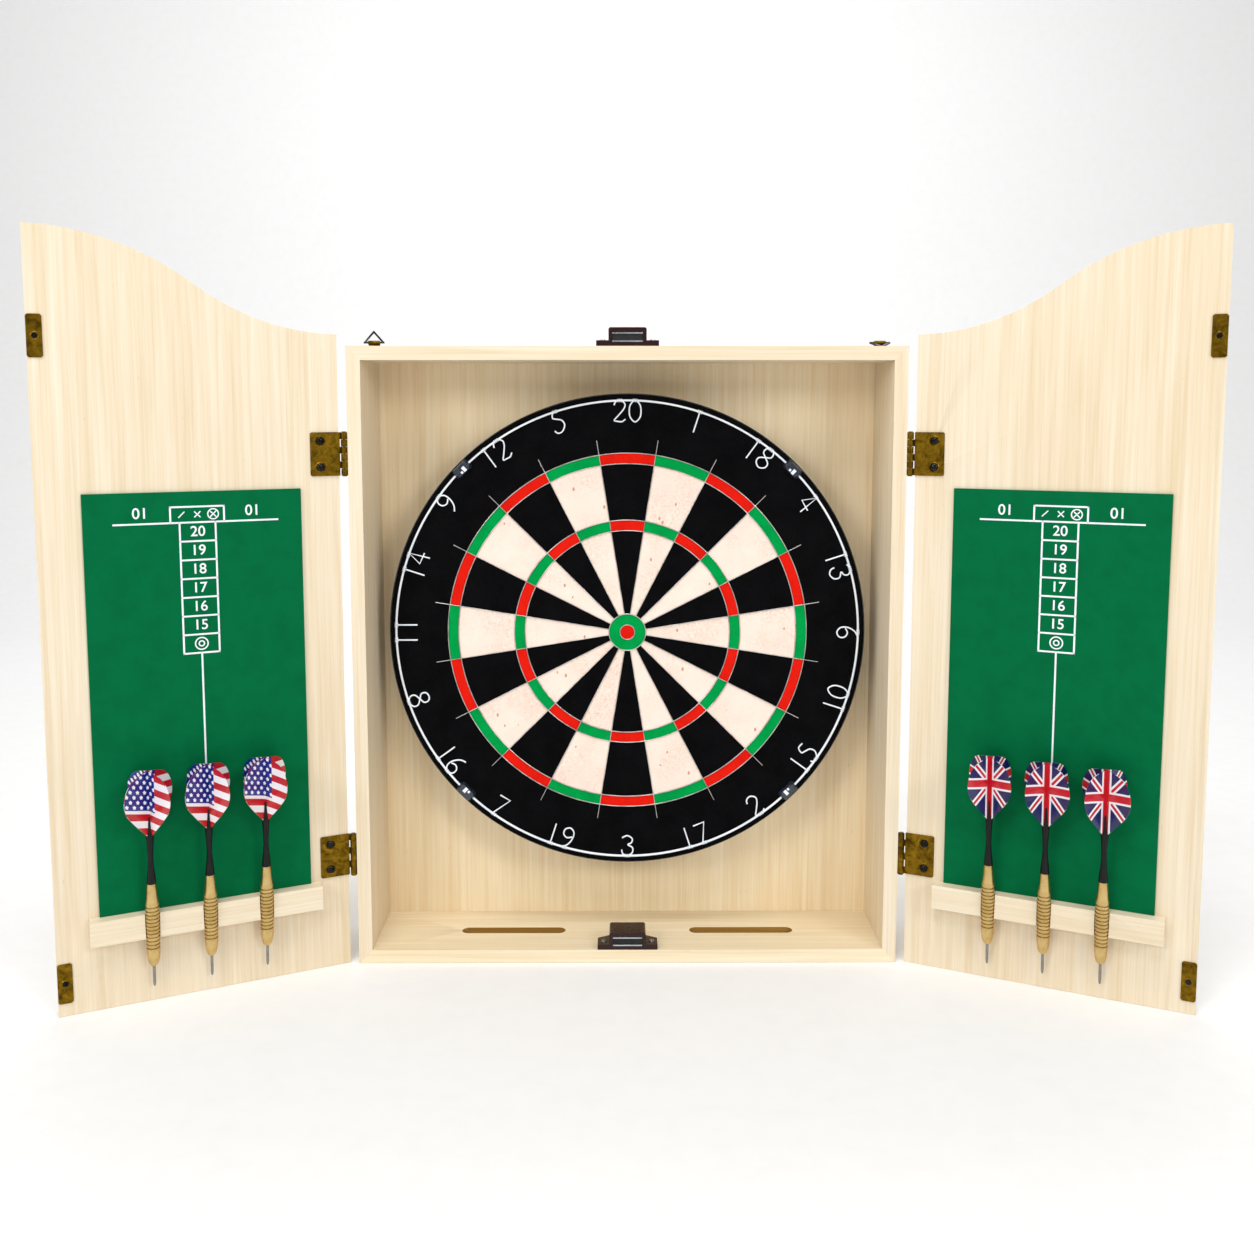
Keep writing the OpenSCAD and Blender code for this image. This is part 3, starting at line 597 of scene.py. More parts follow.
def dart_frame(side, i):
    """Origin at the dart's tip, +Z along it, +Y towards the door."""
    axis = Vector(JOINTS[f"{side}_dart_{i}_pull"]["axis"]).normalized()
    inward = DOOR[side].to_3x3() @ Vector((0, 1, 0))
    inward = (inward - axis * inward.dot(axis)).normalized()
    across = inward.cross(axis)
    turn = Matrix((across, inward, axis)).transposed().to_4x4()
    low, high = local_box(f"{side}_dart_{i}_barrel", turn)
    tip = local_box(f"{side}_dart_{i}_point", turn)[0].z
    return Matrix.Translation(turn @ Vector(((low.x + high.x) / 2, (low.y + high.y) / 2, tip))) @ turn


# ------------------------------------------------------------------ case

def mark_grooves(bm):
    """Gives the faces inside the two tray grooves a darker brown: painted shade in the grooves."""
    boxes = [o["box_m"] for o in frame["record"]["physics"]["openings"] if "groove" in o["name"]]
    top = max(v.co.z for v in bm.verts if abs(v.co.x) < 0.05)
    shallowest, deepest = top - 0.5 * MM, top - 9 * MM
    round_end, side_gap = 12 * MM, 4 * MM
    for f in bm.faces:
        at = f.calc_center_median()
        if not deepest < at.z < shallowest:
            continue
        for low, high in boxes:
            near = (low[0] - round_end < at.x < high[0] + round_end
                    and low[1] - side_gap < at.y < high[1] + side_gap)
            within = low[0] < at.x < high[0] and low[1] < at.y < high[1]
            wall = abs(f.normal.z) < 0.99 and near
            bed = f.normal.z > 0.9 and within
            if wall or bed:
                f.material_index = 1
    return "groove_painted_shade"


def build_case():
    """Panels, catches, bracket, hangers and the hinge halves that stay on the case."""
    for node in ("left_side_panel", "right_side_panel"):
        soften(node, 0.6 * MM)
    soften("top_panel", 0.6 * MM, "maple_flat")
    # The tray and back take lighter maple, painted light for the inside of the case; the tray grooves get painted
    # shade.
    soften("bottom_panel", 0.6 * MM, "maple_base_painted_light", extra=mark_grooves)
    soften("back_panel", 0.3 * MM, "maple_rear_painted_light")
    for node in ("top_catch_housing", "bottom_catch_housing"):
        soften(node, 0.8 * MM, segments=3)
    for node, width in (("catch_pole_plates", 0.15), ("catch_magnets", 0.2), ("board_bracket", 0.2),
                        ("bracket_screws", 0.2), ("hanger_straps", 0.25)):
        soften(node, width * MM)
    soften("case_hinge_leaves", 0.22 * MM, corner=(0, 1.5 * MM, 0.0))
    for node, width in (("hinge_pins", 0.15), ("left_hanger_ring", 0.3), ("right_hanger_ring", 0.3)):
        soften(node, width * MM)


# ------------------------------------------------------------------ board

def ring_radii():
    """Radii of the spider's rings, found midway between its radial wires."""
    inside_bull, mid_sector, wire_gap = 12 * MM, 0.35, 2.5 * MM
    found = []
    for v in NODES["wire_spider"].data.vertices:
        r = math.hypot(v.co.x, v.co.z)
        beside = (math.atan2(v.co.x, v.co.z) / SECTOR) % 1.0
        if r < inside_bull or min(beside, 1 - beside) < mid_sector:
            found.append(r)
    found.sort()
    groups = [[found[0]]]
    for r in found[1:]:
        if r - groups[-1][-1] > wire_gap:
            groups.append([])
        groups[-1].append(r)
    return [(g[0] + g[-1]) / 2 for g in groups]


def build_board():
    """The sisal disc in its colours, one face for each bed, then the rim and the wires."""
    low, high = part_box("sisal_board")
    face, back, radius = low.y, high.y, high.x
    chamfer = 1.2 * MM
    rings_at = ring_radii()
    stops = rings_at + [radius - chamfer, radius]
    per = 6
    steps = per * len(NUMBERS)
    bm = bmesh.new()
    centre = bm.verts.new((0, face, 0))
    turns = [SECTOR * (k - per / 2) / per for k in range(steps)]
    rings = []
    for r in stops:
        y = face if r < radius else face + chamfer
        rings.append([bm.verts.new((r * math.sin(t), y, r * math.cos(t))) for t in turns])
    rings.append([bm.verts.new((v.co.x, back, v.co.z)) for v in rings[-1]])
    looks = ["black_sisal", "cream_sisal", "red_sisal", "green_sisal"]
    singles, bands = (1, 3), (2, 4)

    def tone(ring, k):
        dark = (k // per) % 2 == 0
        if ring == 0:
            return "green_sisal"
        if ring in singles:
            return "black_sisal" if dark else "cream_sisal"
        if ring in bands:
            return "red_sisal" if dark else "green_sisal"
        return "black_sisal"

    for k in range(steps):
        n = (k + 1) % steps
        f = bm.faces.new((centre, rings[0][k], rings[0][n]))
        f.material_index = looks.index("red_sisal")
        for ring, (a, b) in enumerate(zip(rings, rings[1:])):
            f = bm.faces.new((a[k], b[k], b[n], a[n]))
            f.material_index = looks.index(tone(ring, k))
    bm.faces.new(rings[-1])
    settle(new_object("sisal_face", bm, looks), "cabinet", "sisal", "sisal_board")
    soften("board_backing", 0.4 * MM)
    build_rim()
    build_spider(rings_at)


def build_rim():
    """The black band, with slightly rounded front and back edges."""
    low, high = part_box("rim_band")
    outer = high.x
    inner = outer - 1.0 * MM
    deep = high.y - low.y
    profile = [(inner, 0), (inner, -deep), (outer, -deep), (outer, 0), (inner, 0)]
    place = Matrix.Translation((0, high.y, 0)) @ Matrix.Rotation(math.radians(-90), 4, "X")
    bm = bmesh.new()
    add_lathe(bm, rounded(profile, 0.4 * MM, 2), 180, place)
    bmesh.ops.remove_doubles(bm, verts=bm.verts, dist=1e-6)
    stand_in("rim_band", bm, ["rim_steel"])


def build_spider(radii):
    """Round drawn wire on the rings, thinner wire between the sectors."""
    low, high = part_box("wire_spider")
    front, back, tail = low.y, high.y, high.z
    r = (back - front) / 2
    y = (front + back) / 2
    paths = [(circle_path(radius, 160, y), True, r) for radius in radii]
    for k in range(len(NUMBERS)):
        a = SECTOR * (k + 0.5)
        way = Vector((math.sin(a), 0, math.cos(a)))
        paths.append(([Vector((0, y, 0)) + way * radii[1], Vector((0, y, 0)) + way * (tail - 2 * MM),
                       Vector((0, y + r * 0.4, 0)) + way * tail], False, r * 0.8))
    settle(wires("spider_wires", paths, "spider_wire"), "cabinet", "spider_wire", "wire_spider")


# Each digit's wires: points in a cell 1 wide and 2 tall, closed or not, curved or not
DIGITS = {
    0: [([(0.5, 2), (0.1, 1.6), (0, 1), (0.1, 0.4), (0.5, 0), (0.9, 0.4), (1, 1), (0.9, 1.6)],
         True, True)],
    1: [([(0.5, 0), (0.5, 2)], False, False)],
    2: [([(0.02, 1.55), (0.2, 1.9), (0.6, 2), (0.95, 1.65), (0.85, 1.2), (0.4, 0.6), (0.05, 0.15),
          (0.35, 0.05), (0.7, 0.02), (1, 0.25)], False, True)],
    3: [([(0.05, 1.8), (0.5, 2), (0.92, 1.7), (0.85, 1.3), (0.55, 1.1), (0.95, 0.8), (0.92, 0.3),
          (0.5, 0), (0.1, 0.2), (0, 0.6)], False, True)],
    4: [([(0.75, 0), (0.62, 2), (0.02, 0.75), (1.02, 0.62)], False, False)],
    5: [([(0.85, 1.98), (0.35, 2), (0.15, 1.5), (0.45, 1.3), (0.85, 1.05), (0.95, 0.55), (0.6, 0.05),
          (0.2, 0.02), (0, 0.3)], False, True)],
    6: [([(0.85, 1.95), (0.4, 1.65), (0.08, 1.0), (0.1, 0.35), (0.5, 0), (0.92, 0.25), (0.92, 0.75),
          (0.55, 1.0), (0.15, 0.8)], False, True)],
    7: [([(0, 1.9), (1, 2), (0.35, 0)], False, False)],
    8: [([(0.5, 1.1), (0.1, 1.4), (0.15, 1.85), (0.5, 2), (0.85, 1.85), (0.9, 1.4), (0.5, 1.1),
          (0.05, 0.75), (0.05, 0.3), (0.5, 0), (0.95, 0.3), (0.95, 0.75)], True, True)],
    9: [([(0.85, 1.2), (0.45, 1.0), (0.08, 1.25), (0.08, 1.75), (0.5, 2), (0.9, 1.65), (0.92, 1.0),
          (0.7, 0.4), (0.3, 0)], False, True)],
}


def build_number_ring():
    """Bent-wire numerals soldered to a ring, upright in both halves."""
    low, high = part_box("number_ring")
    thick = high.y - low.y
    y = (low.y + high.y) / 2
    radius = high.x - thick / 2
    tall, wide, pitch, wire = 20 * MM, 11 * MM, 14.5 * MM, 0.75 * MM
    paths = [(circle_path(radius, 200, y), True, thick / 2)]
    for i, number in enumerate(NUMBERS):
        a = SECTOR * i
        upper = math.cos(a) > -0.01
        turn = Matrix.Rotation(a if upper else a + math.pi, 4, "Y")
        foot = radius - tall if upper else -radius
        digits = str(number)
        for k, digit in enumerate(digits):
            left = (k - (len(digits) - 1) / 2) * pitch - wide / 2
            for points, closed, curved in DIGITS[int(digit)]:
                flat = [Vector((x, h, 0)) for x, h in points]
                flat = smooth_path(flat, closed) if curved else flat
                line = [turn @ Vector((left + p.x * wide, 0, foot + p.y * tall / 2)) for p in flat]
                paths.append(([p + Vector((0, y, 0)) for p in line], closed, wire))
            seat = turn @ Vector((left + wide / 2, 0, radius if upper else -radius))
            around = math.atan2(seat.x, seat.z)
            for shift in (-1, 0, 1):
                b = around + shift * 1.7 * MM / radius
                out = Vector((math.sin(b), 0, math.cos(b)))
                hub = out * radius + Vector((0, y, 0))
                coil_r = thick / 2 + 0.2 * MM
                wrap = [hub + (out * math.cos(t) + Vector((0, 1, 0)) * math.sin(t)) * coil_r
                        for t in [math.tau * s / 10 for s in range(10)]]
                paths.append((wrap, True, 0.5 * MM))
    settle(wires("number_wires", paths, "white_wire", 8), "cabinet", "white_wire", "number_ring")


def build_clips():
    """Moulded clips with sloping ends and two small pale windows in each."""
    low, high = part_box("ring_clips")
    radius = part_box("number_ring")[1].x - 1.1 * MM
    front, back = low.y, high.y
    half_w, half_h = 10 * MM, 5.5 * MM
    outline = ((-1, -0.5), (-0.8, -1), (0.8, -1), (1, -0.5), (1, 0.5), (0.8, 1), (-0.8, 1), (-1, 0.5))
    sides = len(outline)
    turns = [Matrix.Rotation(math.radians(45 + 90 * k), 4, "Y") for k in range(4)]
    bm = bmesh.new()
    for turn in turns:
        lower = [bm.verts.new((x * half_w, back, z * half_h + radius)) for x, z in outline]
        upper = [bm.verts.new((x * 0.72 * half_w, front, z * 0.75 * half_h + radius)) for x, z in outline]
        bm.faces.new(lower)
        bm.faces.new(upper)
        for i in range(sides):
            n = (i + 1) % sides
            bm.faces.new((lower[i], lower[n], upper[n], upper[i]))
        bmesh.ops.transform(bm, verts=lower + upper, matrix=turn)
    piece = new_object("ring_clip_mouldings", bm, ["clip_plastic"])
    bevel = piece.modifiers.new("edge", "BEVEL")
    bevel.width = 0.4 * MM
    bevel.segments = 2
    apply_modifiers(piece)
    settle(piece, "cabinet", "clip_plastic", "ring_clips")
    sunk = front + 0.3 * MM
    bm = bmesh.new()
    for turn in turns:
        made = add_box(bm, (0.5 * MM, front - 0.25 * MM, radius - 4 * MM),
                       (3.6 * MM, sunk, radius + 1 * MM))
        made += add_box(bm, (-2.6 * MM, front - 0.15 * MM, radius - 3.6 * MM),
                        (-0.6 * MM, sunk, radius - 1.4 * MM))
        bmesh.ops.transform(bm, verts=made, matrix=turn)
    settle(new_object("ring_clip_windows", bm, ["white_wire"]), "cabinet", "white_wire")


# ------------------------------------------------------------------ screws

def crossed_head(radius, height, dome):
    """A screw head on Z = 0 with a cross recess, made anew for each screw."""
    bm = bmesh.new()
    rim = height * (0.25 if dome else 0.55)
    profile = [(0, 0), (radius, 0), (radius, rim)]
    for k in range(1, 8):
        t = k / 8 * math.pi / 2
        profile.append((radius * math.cos(t), rim + (height - rim) * math.sin(t)))
    profile.append((0, height))
    add_lathe(bm, profile, 32)
    head = new_object("screw_head", bm, ["zinc"])
    arm, slot, deep = radius * 0.58, radius * 0.13, height * 0.55
    spares = [head]
    for x, y in ((arm, slot), (slot, arm)):
        bm = bmesh.new()
        add_box(bm, (-x, -y, height - deep), (x, y, height * 2))
        spares.append(new_object("cutter", bm, ["zinc"]))
        cut = head.modifiers.new("cut", "BOOLEAN")
        cut.operation = "DIFFERENCE"
        cut.object = spares[-1]
    apply_modifiers(head)
    mesh = head.data
    for spare in spares:
        bpy.data.objects.remove(spare)
    return mesh


def islands(node):
    """The separate solids of a CAD node, each as a list of points."""
    bm = bmesh.new()
    bm.from_mesh(NODES[node].data)
    bmesh.ops.remove_doubles(bm, verts=bm.verts, dist=WELD)
    seen, out = set(), []
    for v in bm.verts:
        if v in seen:
            continue
        stack, group = [v], []
        seen.add(v)
        while stack:
            at = stack.pop()
            group.append(at.co.copy())
            for e in at.link_edges:
                other = e.other_vert(at)
                if other not in seen:
                    seen.add(other)
                    stack.append(other)
        out.append(group)
    bm.free()
    return out


def build_screws(node, outward, look, collars=False, turn=0.35):
    """Replaces each plain CAD screw by a threaded shank and a crossed head.

    outward(points) gives the unit way that the head faces. Collars are the raised rims
    that the plate has round its screws.
    """
    bm = bmesh.new()
    rims = bmesh.new()
    for index, points in enumerate(islands(node)):
        way = outward(points).normalized()
        reach = [p.dot(way) for p in points]
        top, foot = max(reach), min(reach)
        low, high = extent(points)
        middle = (low + high) / 2
        axis_point = middle - way * middle.dot(way)

        def off(p):
            return (p - way * p.dot(way) - axis_point).length
        head_r = max(off(p) for p in points)
        under = min(p.dot(way) for p in points if off(p) > head_r * 0.93)
        shank_r = max(off(p) for p in points if p.dot(way) < foot + (top - foot) * 0.3)
        spin = Matrix.Rotation(turn + index * 1.1, 4, "Z")
        place = Matrix.Translation(axis_point) @ way.to_track_quat("Z", "Y").to_matrix().to_4x4()
        mesh = crossed_head(head_r, top - under, dome=top - under > DOME_HEAD)
        start = len(bm.verts)
        bm.from_mesh(mesh)
        bm.verts.ensure_lookup_table()
        made = bm.verts[start:]
        bmesh.ops.transform(bm, verts=made, matrix=place @ Matrix.Translation((0, 0, under)) @ spin)
        profile = [(0, foot), (shank_r * 0.25, foot)]
        root_r, crest_r = shank_r * 0.72, shank_r * 0.98
        for k in range(int((under - foot - 1.5 * MM) / THREAD)):
            z = foot + (k + 1) * THREAD
            profile += [(root_r, z), (crest_r, z + 0.35 * THREAD), (root_r, z + 0.7 * THREAD)]
        profile += [(shank_r * 0.9, under), (0, under)]
        add_lathe(bm, profile, 20, place)
        inner, outer, proud = head_r + 0.15 * MM, head_r + 1.0 * MM, 0.45 * MM
        rim = [(inner, under), (inner, under + proud * 0.6), ((inner + outer) / 2, under + proud),
               (outer, under + proud * 0.3), (outer + 0.2 * MM, under)]
        add_lathe(rims, rounded(rim, 0.2 * MM, 2), 40, place)
    stand_in(node, bm, [look])
    if collars:
        settle(new_object(node + "_collars", rims, ["antique_brass"]), BODY[node], "antique_brass")
    else:
        rims.free()


def build_all_screws():
    """The screws of the hinges, catches, hangers and strike plates."""
    def toward_case_outside(points):
        return Vector((1 if points[0].x > 0 else -1, 0, 0))
    build_screws("case_hinge_screws", toward_case_outside, "black_screw", True)
    build_screws("small_screws", lambda points: Vector((0, 0, 1)), "zinc")
    for side in SIDES:
        front = DOOR[side].to_3x3() @ Vector((0, -1, 0))
        build_screws(side + "_door_screws", lambda points, way=front: way, "black_screw", True)


# ------------------------------------------------------------------ doors

def add_text(bm, words, size, place):
    """Figures as a thin plate of paint, in the frame place."""
    font = bpy.data.curves.new("figures", "FONT")
    font.body = words
    font.size = size
    font.align_x = "CENTER"
    font.align_y = "CENTER"
    font.extrude = PAINT / 2
    font.offset = 0.12 * MM
    mesh = mesh_of_curve(font)
    mesh.transform(place)
    bm.from_mesh(mesh)


def build_score(side):
    """White scoring lines, cells and figures painted on the green panel."""
    world = DOOR[side]
    low, high = local_box(side + "_score_panel", world)
    face = low.y
    middle = (low.x + high.x) / 2
    top = high.z
    bm = bmesh.new()

    def bar(x0, z0, x1, z1):
        add_box(bm, (middle + min(x0, x1) - STROKE, face - PAINT, top + min(z0, z1) - STROKE),
                (middle + max(x0, x1) + STROKE, face + 0.05 * MM, top + max(z0, z1) + STROKE))

    def at(x, z):
        return Matrix.Translation((middle + x, face - PAINT / 2, top + z)) @ Z_TO_FRONT
    rule, head_top, head_bottom = -26.5 * MM, -13 * MM, -26 * MM
    shift = 1.5 * MM
    cell_w, cell_h, head_w = 14.7 * MM, 16.25 * MM, 22 * MM
    rule_w, line_foot = 67 * MM, low.z - top + 100 * MM
    bar(shift - rule_w, rule, shift + rule_w, rule)
    for x in (-head_w, head_w):
        bar(shift + x, head_bottom, shift + x, head_top)
    bar(shift - head_w, head_top, shift + head_w, head_top)
    foot = rule - 7 * cell_h
    for x in (-cell_w, cell_w):
        bar(shift + x, rule, shift + x, foot)
    for k in range(1, 8):
        bar(shift - cell_w, rule - k * cell_h, shift + cell_w, rule - k * cell_h)
    bar(shift, foot, shift, line_foot)
    for k, figure in enumerate((20, 19, 18, 17, 16, 15)):
        add_text(bm, str(figure), 12.5 * MM, at(shift, rule - (k + 0.5) * cell_h))
    for x in (-46, 46):
        add_text(bm, "01", 13 * MM, at(shift + x * MM, rule + 8.6 * MM))
    bull = at(shift, rule - 6.5 * cell_h)
    for radius in (5.2 * MM, 2.2 * MM):
        add_ring(bm, radius, 0.55 * MM, bull)
    for k in (-1, 0, 1):
        spot = at(shift + k * 13 * MM, (head_top + head_bottom) / 2 - 0.2 * MM)
        for turn in ((45,) if k == -1 else (45, -45)):
            made = add_box(bm, (-3.6 * MM, -0.5 * MM, -PAINT / 2), (3.6 * MM, 0.5 * MM, PAINT / 2))
            bmesh.ops.transform(bm, verts=made, matrix=spot @ Matrix.Rotation(math.radians(turn), 4, "Z"))
        if k == 1:
            add_ring(bm, 4.4 * MM, 0.5 * MM, spot)
    piece = new_object(side + "_score_marks", bm, ["white_wire"], world)
    settle(piece, side + "_door", "score_green")


def add_ring(bm, radius, half, place):
    """A painted ring, half as wide on each side of radius."""
    profile = [(radius - half, -PAINT / 2), (radius + half, -PAINT / 2), (radius + half, PAINT / 2),
               (radius - half, PAINT / 2), (radius - half, -PAINT / 2)]
    add_lathe(bm, profile, 40, place)


def build_door(side):
    """One door: panel, score panel and its marks, dart rail, strike plates, hinge leaves."""
    world = DOOR[side]
    soften(side + "_door_panel", 0.6 * MM, world=world)
    soften(side + "_score_panel", 0.35 * MM, world=world)
    soften(side + "_dart_rail", 0.6 * MM, world=world)
    soften(side + "_strike_plates", 0.2 * MM, world=world, corner=(1, 1.6 * MM, 0.0))
    soften(side + "_hinge_leaves", 0.22 * MM, world=world, corner=(1, 1.8 * MM, 0.9))
    build_score(side)


# ------------------------------------------------------------------ darts

def build_dart(side, i):
    """One dart in its rail, in four pieces."""
    world = dart_frame(side, i)
    names = {part: f"{side}_dart_{i}_{part}" for part in ("point", "barrel", "shaft", "flight")}
    boxes = {part: local_box(node, world) for part, node in names.items()}
    build_point(names["point"], world, boxes["point"])
    build_barrel(names["barrel"], world, boxes["barrel"])
    build_shaft(names["shaft"], world, boxes["shaft"], boxes["barrel"])
    build_flight(names["flight"], world, boxes["flight"])


def build_point(node, world, box):
    """Ground steel point with a blunt tip."""
    bm = bmesh.new()
    r = box[1].x
    profile = [(0, 0), (0.4 * r, 0.15 * MM), (0.72 * r, 1.0 * MM), (0.92 * r, 2.6 * MM), (r, 5 * MM),
               (r, box[1].z), (0, box[1].z)]
    add_lathe(bm, profile, 24)
    stand_in(node, bm, ["point_steel"], world)


def build_barrel(node, world, box):
    """Turned brass: smooth nose, ringed grip with fine knurling and painted shade in its grooves, slim rear."""
    foot, top, r = box[0].z, box[1].z, box[1].x
    grip_low, grip_high = foot + 17 * MM, top - 20 * MM
    count, spokes = 12, 30
    groove, knurl = 0.7 * MM, 0.11 * MM
    land_r, groove_r = r - 0.1 * MM, r - groove
    pitch = (grip_high - grip_low) / (count - 0.5)
    profile = [(1.35 * MM, foot), (2.3 * MM, foot), (3.3 * MM, foot + 0.9 * MM), (4.2 * MM, foot + 3 * MM),
               (r * 0.89, foot + 7 * MM), (r * 0.97, foot + 12 * MM), (r, grip_low - 0.8 * MM)]
    for k in range(count):
        z = grip_low + k * pitch
        profile += [(land_r, z), (groove_r, z + 0.35 * MM), (groove_r, z + 0.95 * MM),
                    (land_r, z + 1.3 * MM), (r, z + pitch * 0.6)]
    rear = top - grip_high
    joint, bore, bore_foot = 3.9 * MM, 2.05 * MM, top - 6.5 * MM
    profile += [(r, grip_high + 1 * MM), (r * 0.96, grip_high + rear * 0.15),
                (4.9 * MM, grip_high + rear * 0.34), (4.35 * MM, top - 6 * MM), (joint, top - 0.8 * MM),
                (joint - 0.2 * MM, top), (bore, top), (bore, bore_foot), (0, bore_foot)]
    bm = bmesh.new()
    add_lathe(bm, profile, 96)
    for v in bm.verts:
        radial = math.hypot(v.co.x, v.co.y)
        if grip_low < v.co.z < grip_high and radial > r - 0.2 * MM:
            dip = knurl * (0.5 + 0.5 * math.cos(math.atan2(v.co.y, v.co.x) * spokes)) / radial
            v.co.x *= 1 - dip
            v.co.y *= 1 - dip
    # Faces deep in the ring grooves take the darker brass: painted shade.
    for f in bm.faces:
        at = f.calc_center_median()
        if grip_low < at.z < grip_high and math.hypot(at.x, at.y) < r - 0.3 * MM:
            f.material_index = 1
    stand_in(node, bm, ["dart_brass", "grip_brass"], world)


def build_shaft(node, world, box, barrel):
    """Waisted nylon shaft whose pointed end holds the flight."""
    bm = bmesh.new()
    foot, joint, top = box[0].z, barrel[1].z, box[1].z
    r, thread_r = box[1].x, 1.95 * MM
    fork = top - 17 * MM
    profile = [(0, foot), (thread_r, foot), (thread_r, joint), (r, joint), (r * 0.99, joint + 1 * MM),
               (r * 0.93, joint + 5 * MM), (2.6 * MM, joint + 14 * MM), (2.2 * MM, joint + 22 * MM),
               (2.5 * MM, joint + 31 * MM), (3.15 * MM, fork - 4 * MM), (3.3 * MM, fork - 1.6 * MM),
               (2.9 * MM, fork + 1 * MM), (2.3 * MM, fork + 3 * MM), (1.9 * MM, fork + 9 * MM),
               (1.3 * MM, top - 0.6 * MM), (0.7 * MM, top), (0, top)]
    add_lathe(bm, profile, 32)
    stand_in(node, bm, ["nylon"], world)


def wing_outline(reach, tall):
    """Half of the flight's outline, from the foot at the axis round to the peak."""
    shape = [(0, 0), (0.12, 0.0), (0.3, 0.09), (0.62, 0.25), (0.87, 0.40), (0.98, 0.52), (0.99, 0.65),
             (0.92, 0.77), (0.78, 0.87), (0.58, 0.935), (0.34, 0.965), (0.16, 0.975), (0, 1)]
    corner = 4
    smooth = smooth_path([Vector((x * reach, z * tall, 0)) for x, z in shape[corner - 1:]], steps=5)
    return [Vector((x * reach, z * tall, 0)) for x, z in shape[:corner - 1]] + smooth


def edge_at(outline, height):
    """How far from the axis the outline lies at a height."""
    tiny, spine = 1e-9, 0.05 * MM
    best = spine
    for p, q in zip(outline, outline[1:]):
        if min(p.y, q.y) - tiny <= height <= max(p.y, q.y) + tiny and abs(p.y - q.y) > tiny:
            share = (height - p.y) / (q.y - p.y)
            best = max(best, p.x + (q.x - p.x) * share)
    return best


def build_flight(node, world, box):
    """Four printed wings, slightly bowed, meeting in a fine spine."""
    inverse = world.inverted()
    points = [inverse @ v.co for v in NODES[node].data.vertices]
    far = max(points, key=lambda p: math.hypot(p.x, p.y))
    first = math.atan2(far.y, far.x)
    reach = math.hypot(far.x, far.y)
    foot, tall = box[0].z, box[1].z - box[0].z
    half_thick, bulge = 0.2 * MM, 0.5 * MM
    columns, heights = 6, 28
    outline = wing_outline(reach, tall)
    rows = []
    for j in range(heights + 1):
        z = tall * j / heights
        edge = edge_at(outline, z)
        rows.append([Vector((edge * c / columns, z, 0)) for c in range(columns + 1)])
    bm = bmesh.new()
    uv = bm.loops.layers.uv.new("print")
    for k in range(4):
        a = first + k * math.pi / 2
        along = Vector((math.cos(a), math.sin(a), 0))
        normal = Vector((-math.sin(a), math.cos(a), 0))
        way = 1 if k % 2 else -1

        def spot(p, lift):
            bow = bulge * math.sin(math.pi * min(1, p.x / reach)) * way
            return along * p.x + normal * (bow + lift) + Vector((0, 0, foot + p.y))
        grids = [[[bm.verts.new(spot(p, lift)) for p in row] for row in rows]
                 for lift in (half_thick, -half_thick)]
        for face, grid in enumerate(grids):
            sign = -1 if face == 0 else 1
            for j in range(heights):
                for c in range(columns):
                    quad = (grid[j][c], grid[j][c + 1], grid[j + 1][c + 1], grid[j + 1][c])
                    at = (rows[j][c], rows[j][c + 1], rows[j + 1][c + 1], rows[j + 1][c])
                    f = bm.faces.new(quad if face else quad[::-1])
                    for loop in f.loops:
                        p = at[quad.index(loop.vert)]
                        loop[uv].uv = (sign * p.x * PRINT_SCALE, p.y * PRINT_SCALE)
        front, back = grids
        rim = ([(j, columns) for j in range(heights + 1)]
               + [(heights, c) for c in range(columns - 1, -1, -1)]
               + [(j, 0) for j in range(heights - 1, -1, -1)] + [(0, c) for c in range(1, columns)])
        for (j, c), (m, n) in zip(rim, rim[1:] + rim[:1]):
            f = bm.faces.new((front[j][c], front[m][n], back[m][n], back[j][c]))
            for loop in f.loops:
                loop[uv].uv = (rows[j][c].x * PRINT_SCALE, rows[j][c].y * PRINT_SCALE)
    stand_in(node, bm, [SLOT[node]], world)


# ------------------------------------------------------------------ stage

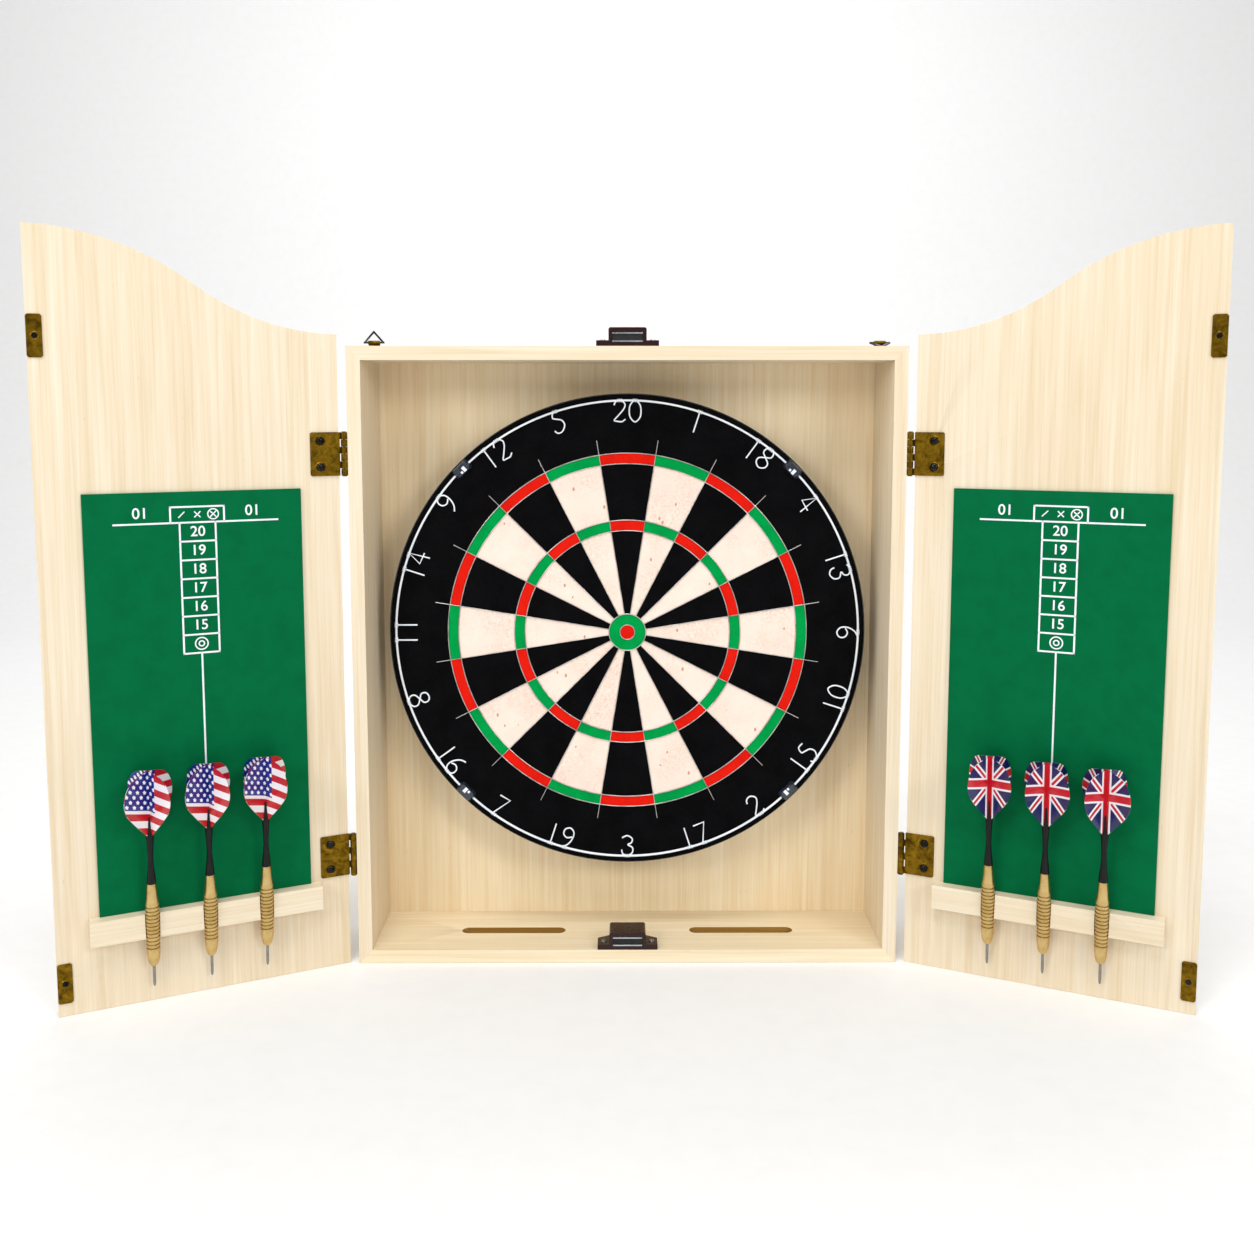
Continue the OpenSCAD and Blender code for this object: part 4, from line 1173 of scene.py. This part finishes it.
def build_stage():
    """A white sweep under and behind the cabinet, soft lights and the camera."""
    floor = cad_bounds[0].z - 0.2 * MM
    front, bend_start, bend, height, half_width, steps = -4.0, 1.6, 1.2, 5.0, 6, 12
    bm = bmesh.new()
    profile = [(front, 0.0), (bend_start, 0.0)]
    for k in range(1, steps + 1):
        t = math.radians(90) * k / steps
        profile.append((bend_start + bend * math.sin(t), bend - bend * math.cos(t)))
    profile.append((bend_start + bend, height))
    rows = [[bm.verts.new((x, y, floor + z)) for y, z in profile] for x in (-half_width, half_width)]
    for k in range(len(profile) - 1):
        bm.faces.new((rows[0][k], rows[1][k], rows[1][k + 1], rows[0][k + 1]))
    white, off_white = (0.93, 0.93, 0.93, 1), (0.91, 0.91, 0.91, 1)
    LOOK["sweep"] = plastic("sweep_paper", white, off_white, 0.8, 0.9, 60)
    new_object("sweep", bm, ["sweep"])

    world = bpy.data.worlds.new("studio")
    bpy.context.scene.world = world
    world.use_nodes = True
    background = world.node_tree.nodes["Background"]
    background.inputs["Color"].default_value = (1, 1, 1, 1)
    background.inputs["Strength"].default_value = 0.44

    def lamp(name, at, aim, size, power):
        light = bpy.data.lights.new(name, "AREA")
        light.shape = "RECTANGLE"
        light.size, light.size_y = size
        light.energy = power
        made = add_object(name, light)
        made.location = at
        made.rotation_euler = (Vector(aim) - Vector(at)).to_track_quat("-Z", "Y").to_euler()
    lamp("key", (-0.4, -1.6, 2.2), (0, 0, -0.05), (0.7, 0.5), 14)
    for side, x in (("left", -1.5), ("right", 1.5)):
        lamp(side + "_fill", (x, -1.9, 1.0), (0, 0, -0.05), (0.8, 0.6), 15)
    lamp("top", (0, -0.9, 2.6), (0, -0.4, -0.3), (1.4, 0.6), 20)
    lamp("back", (0, 1.0, 1.9), (0, 1.9, 0.4), (2.8, 1.0), 24)

    camera = bpy.data.cameras.new("camera")
    camera.sensor_width = 36
    camera.lens = 35.68
    camera.shift_y = -0.075
    viewer = add_object("camera", camera)
    viewer.location = (-0.0052, -1.211, 0.2147)
    viewer.rotation_euler = (math.radians(90 - 5.88), 0, math.radians(-0.24))
    bpy.context.scene.camera = viewer
    bpy.context.scene.view_settings.view_transform = "Standard"


build_stage()
build_case()
build_board()
build_number_ring()
build_clips()
for side in SIDES:
    build_door(side)
    for i in (1, 2, 3):
        build_dart(side, i)
build_all_screws()
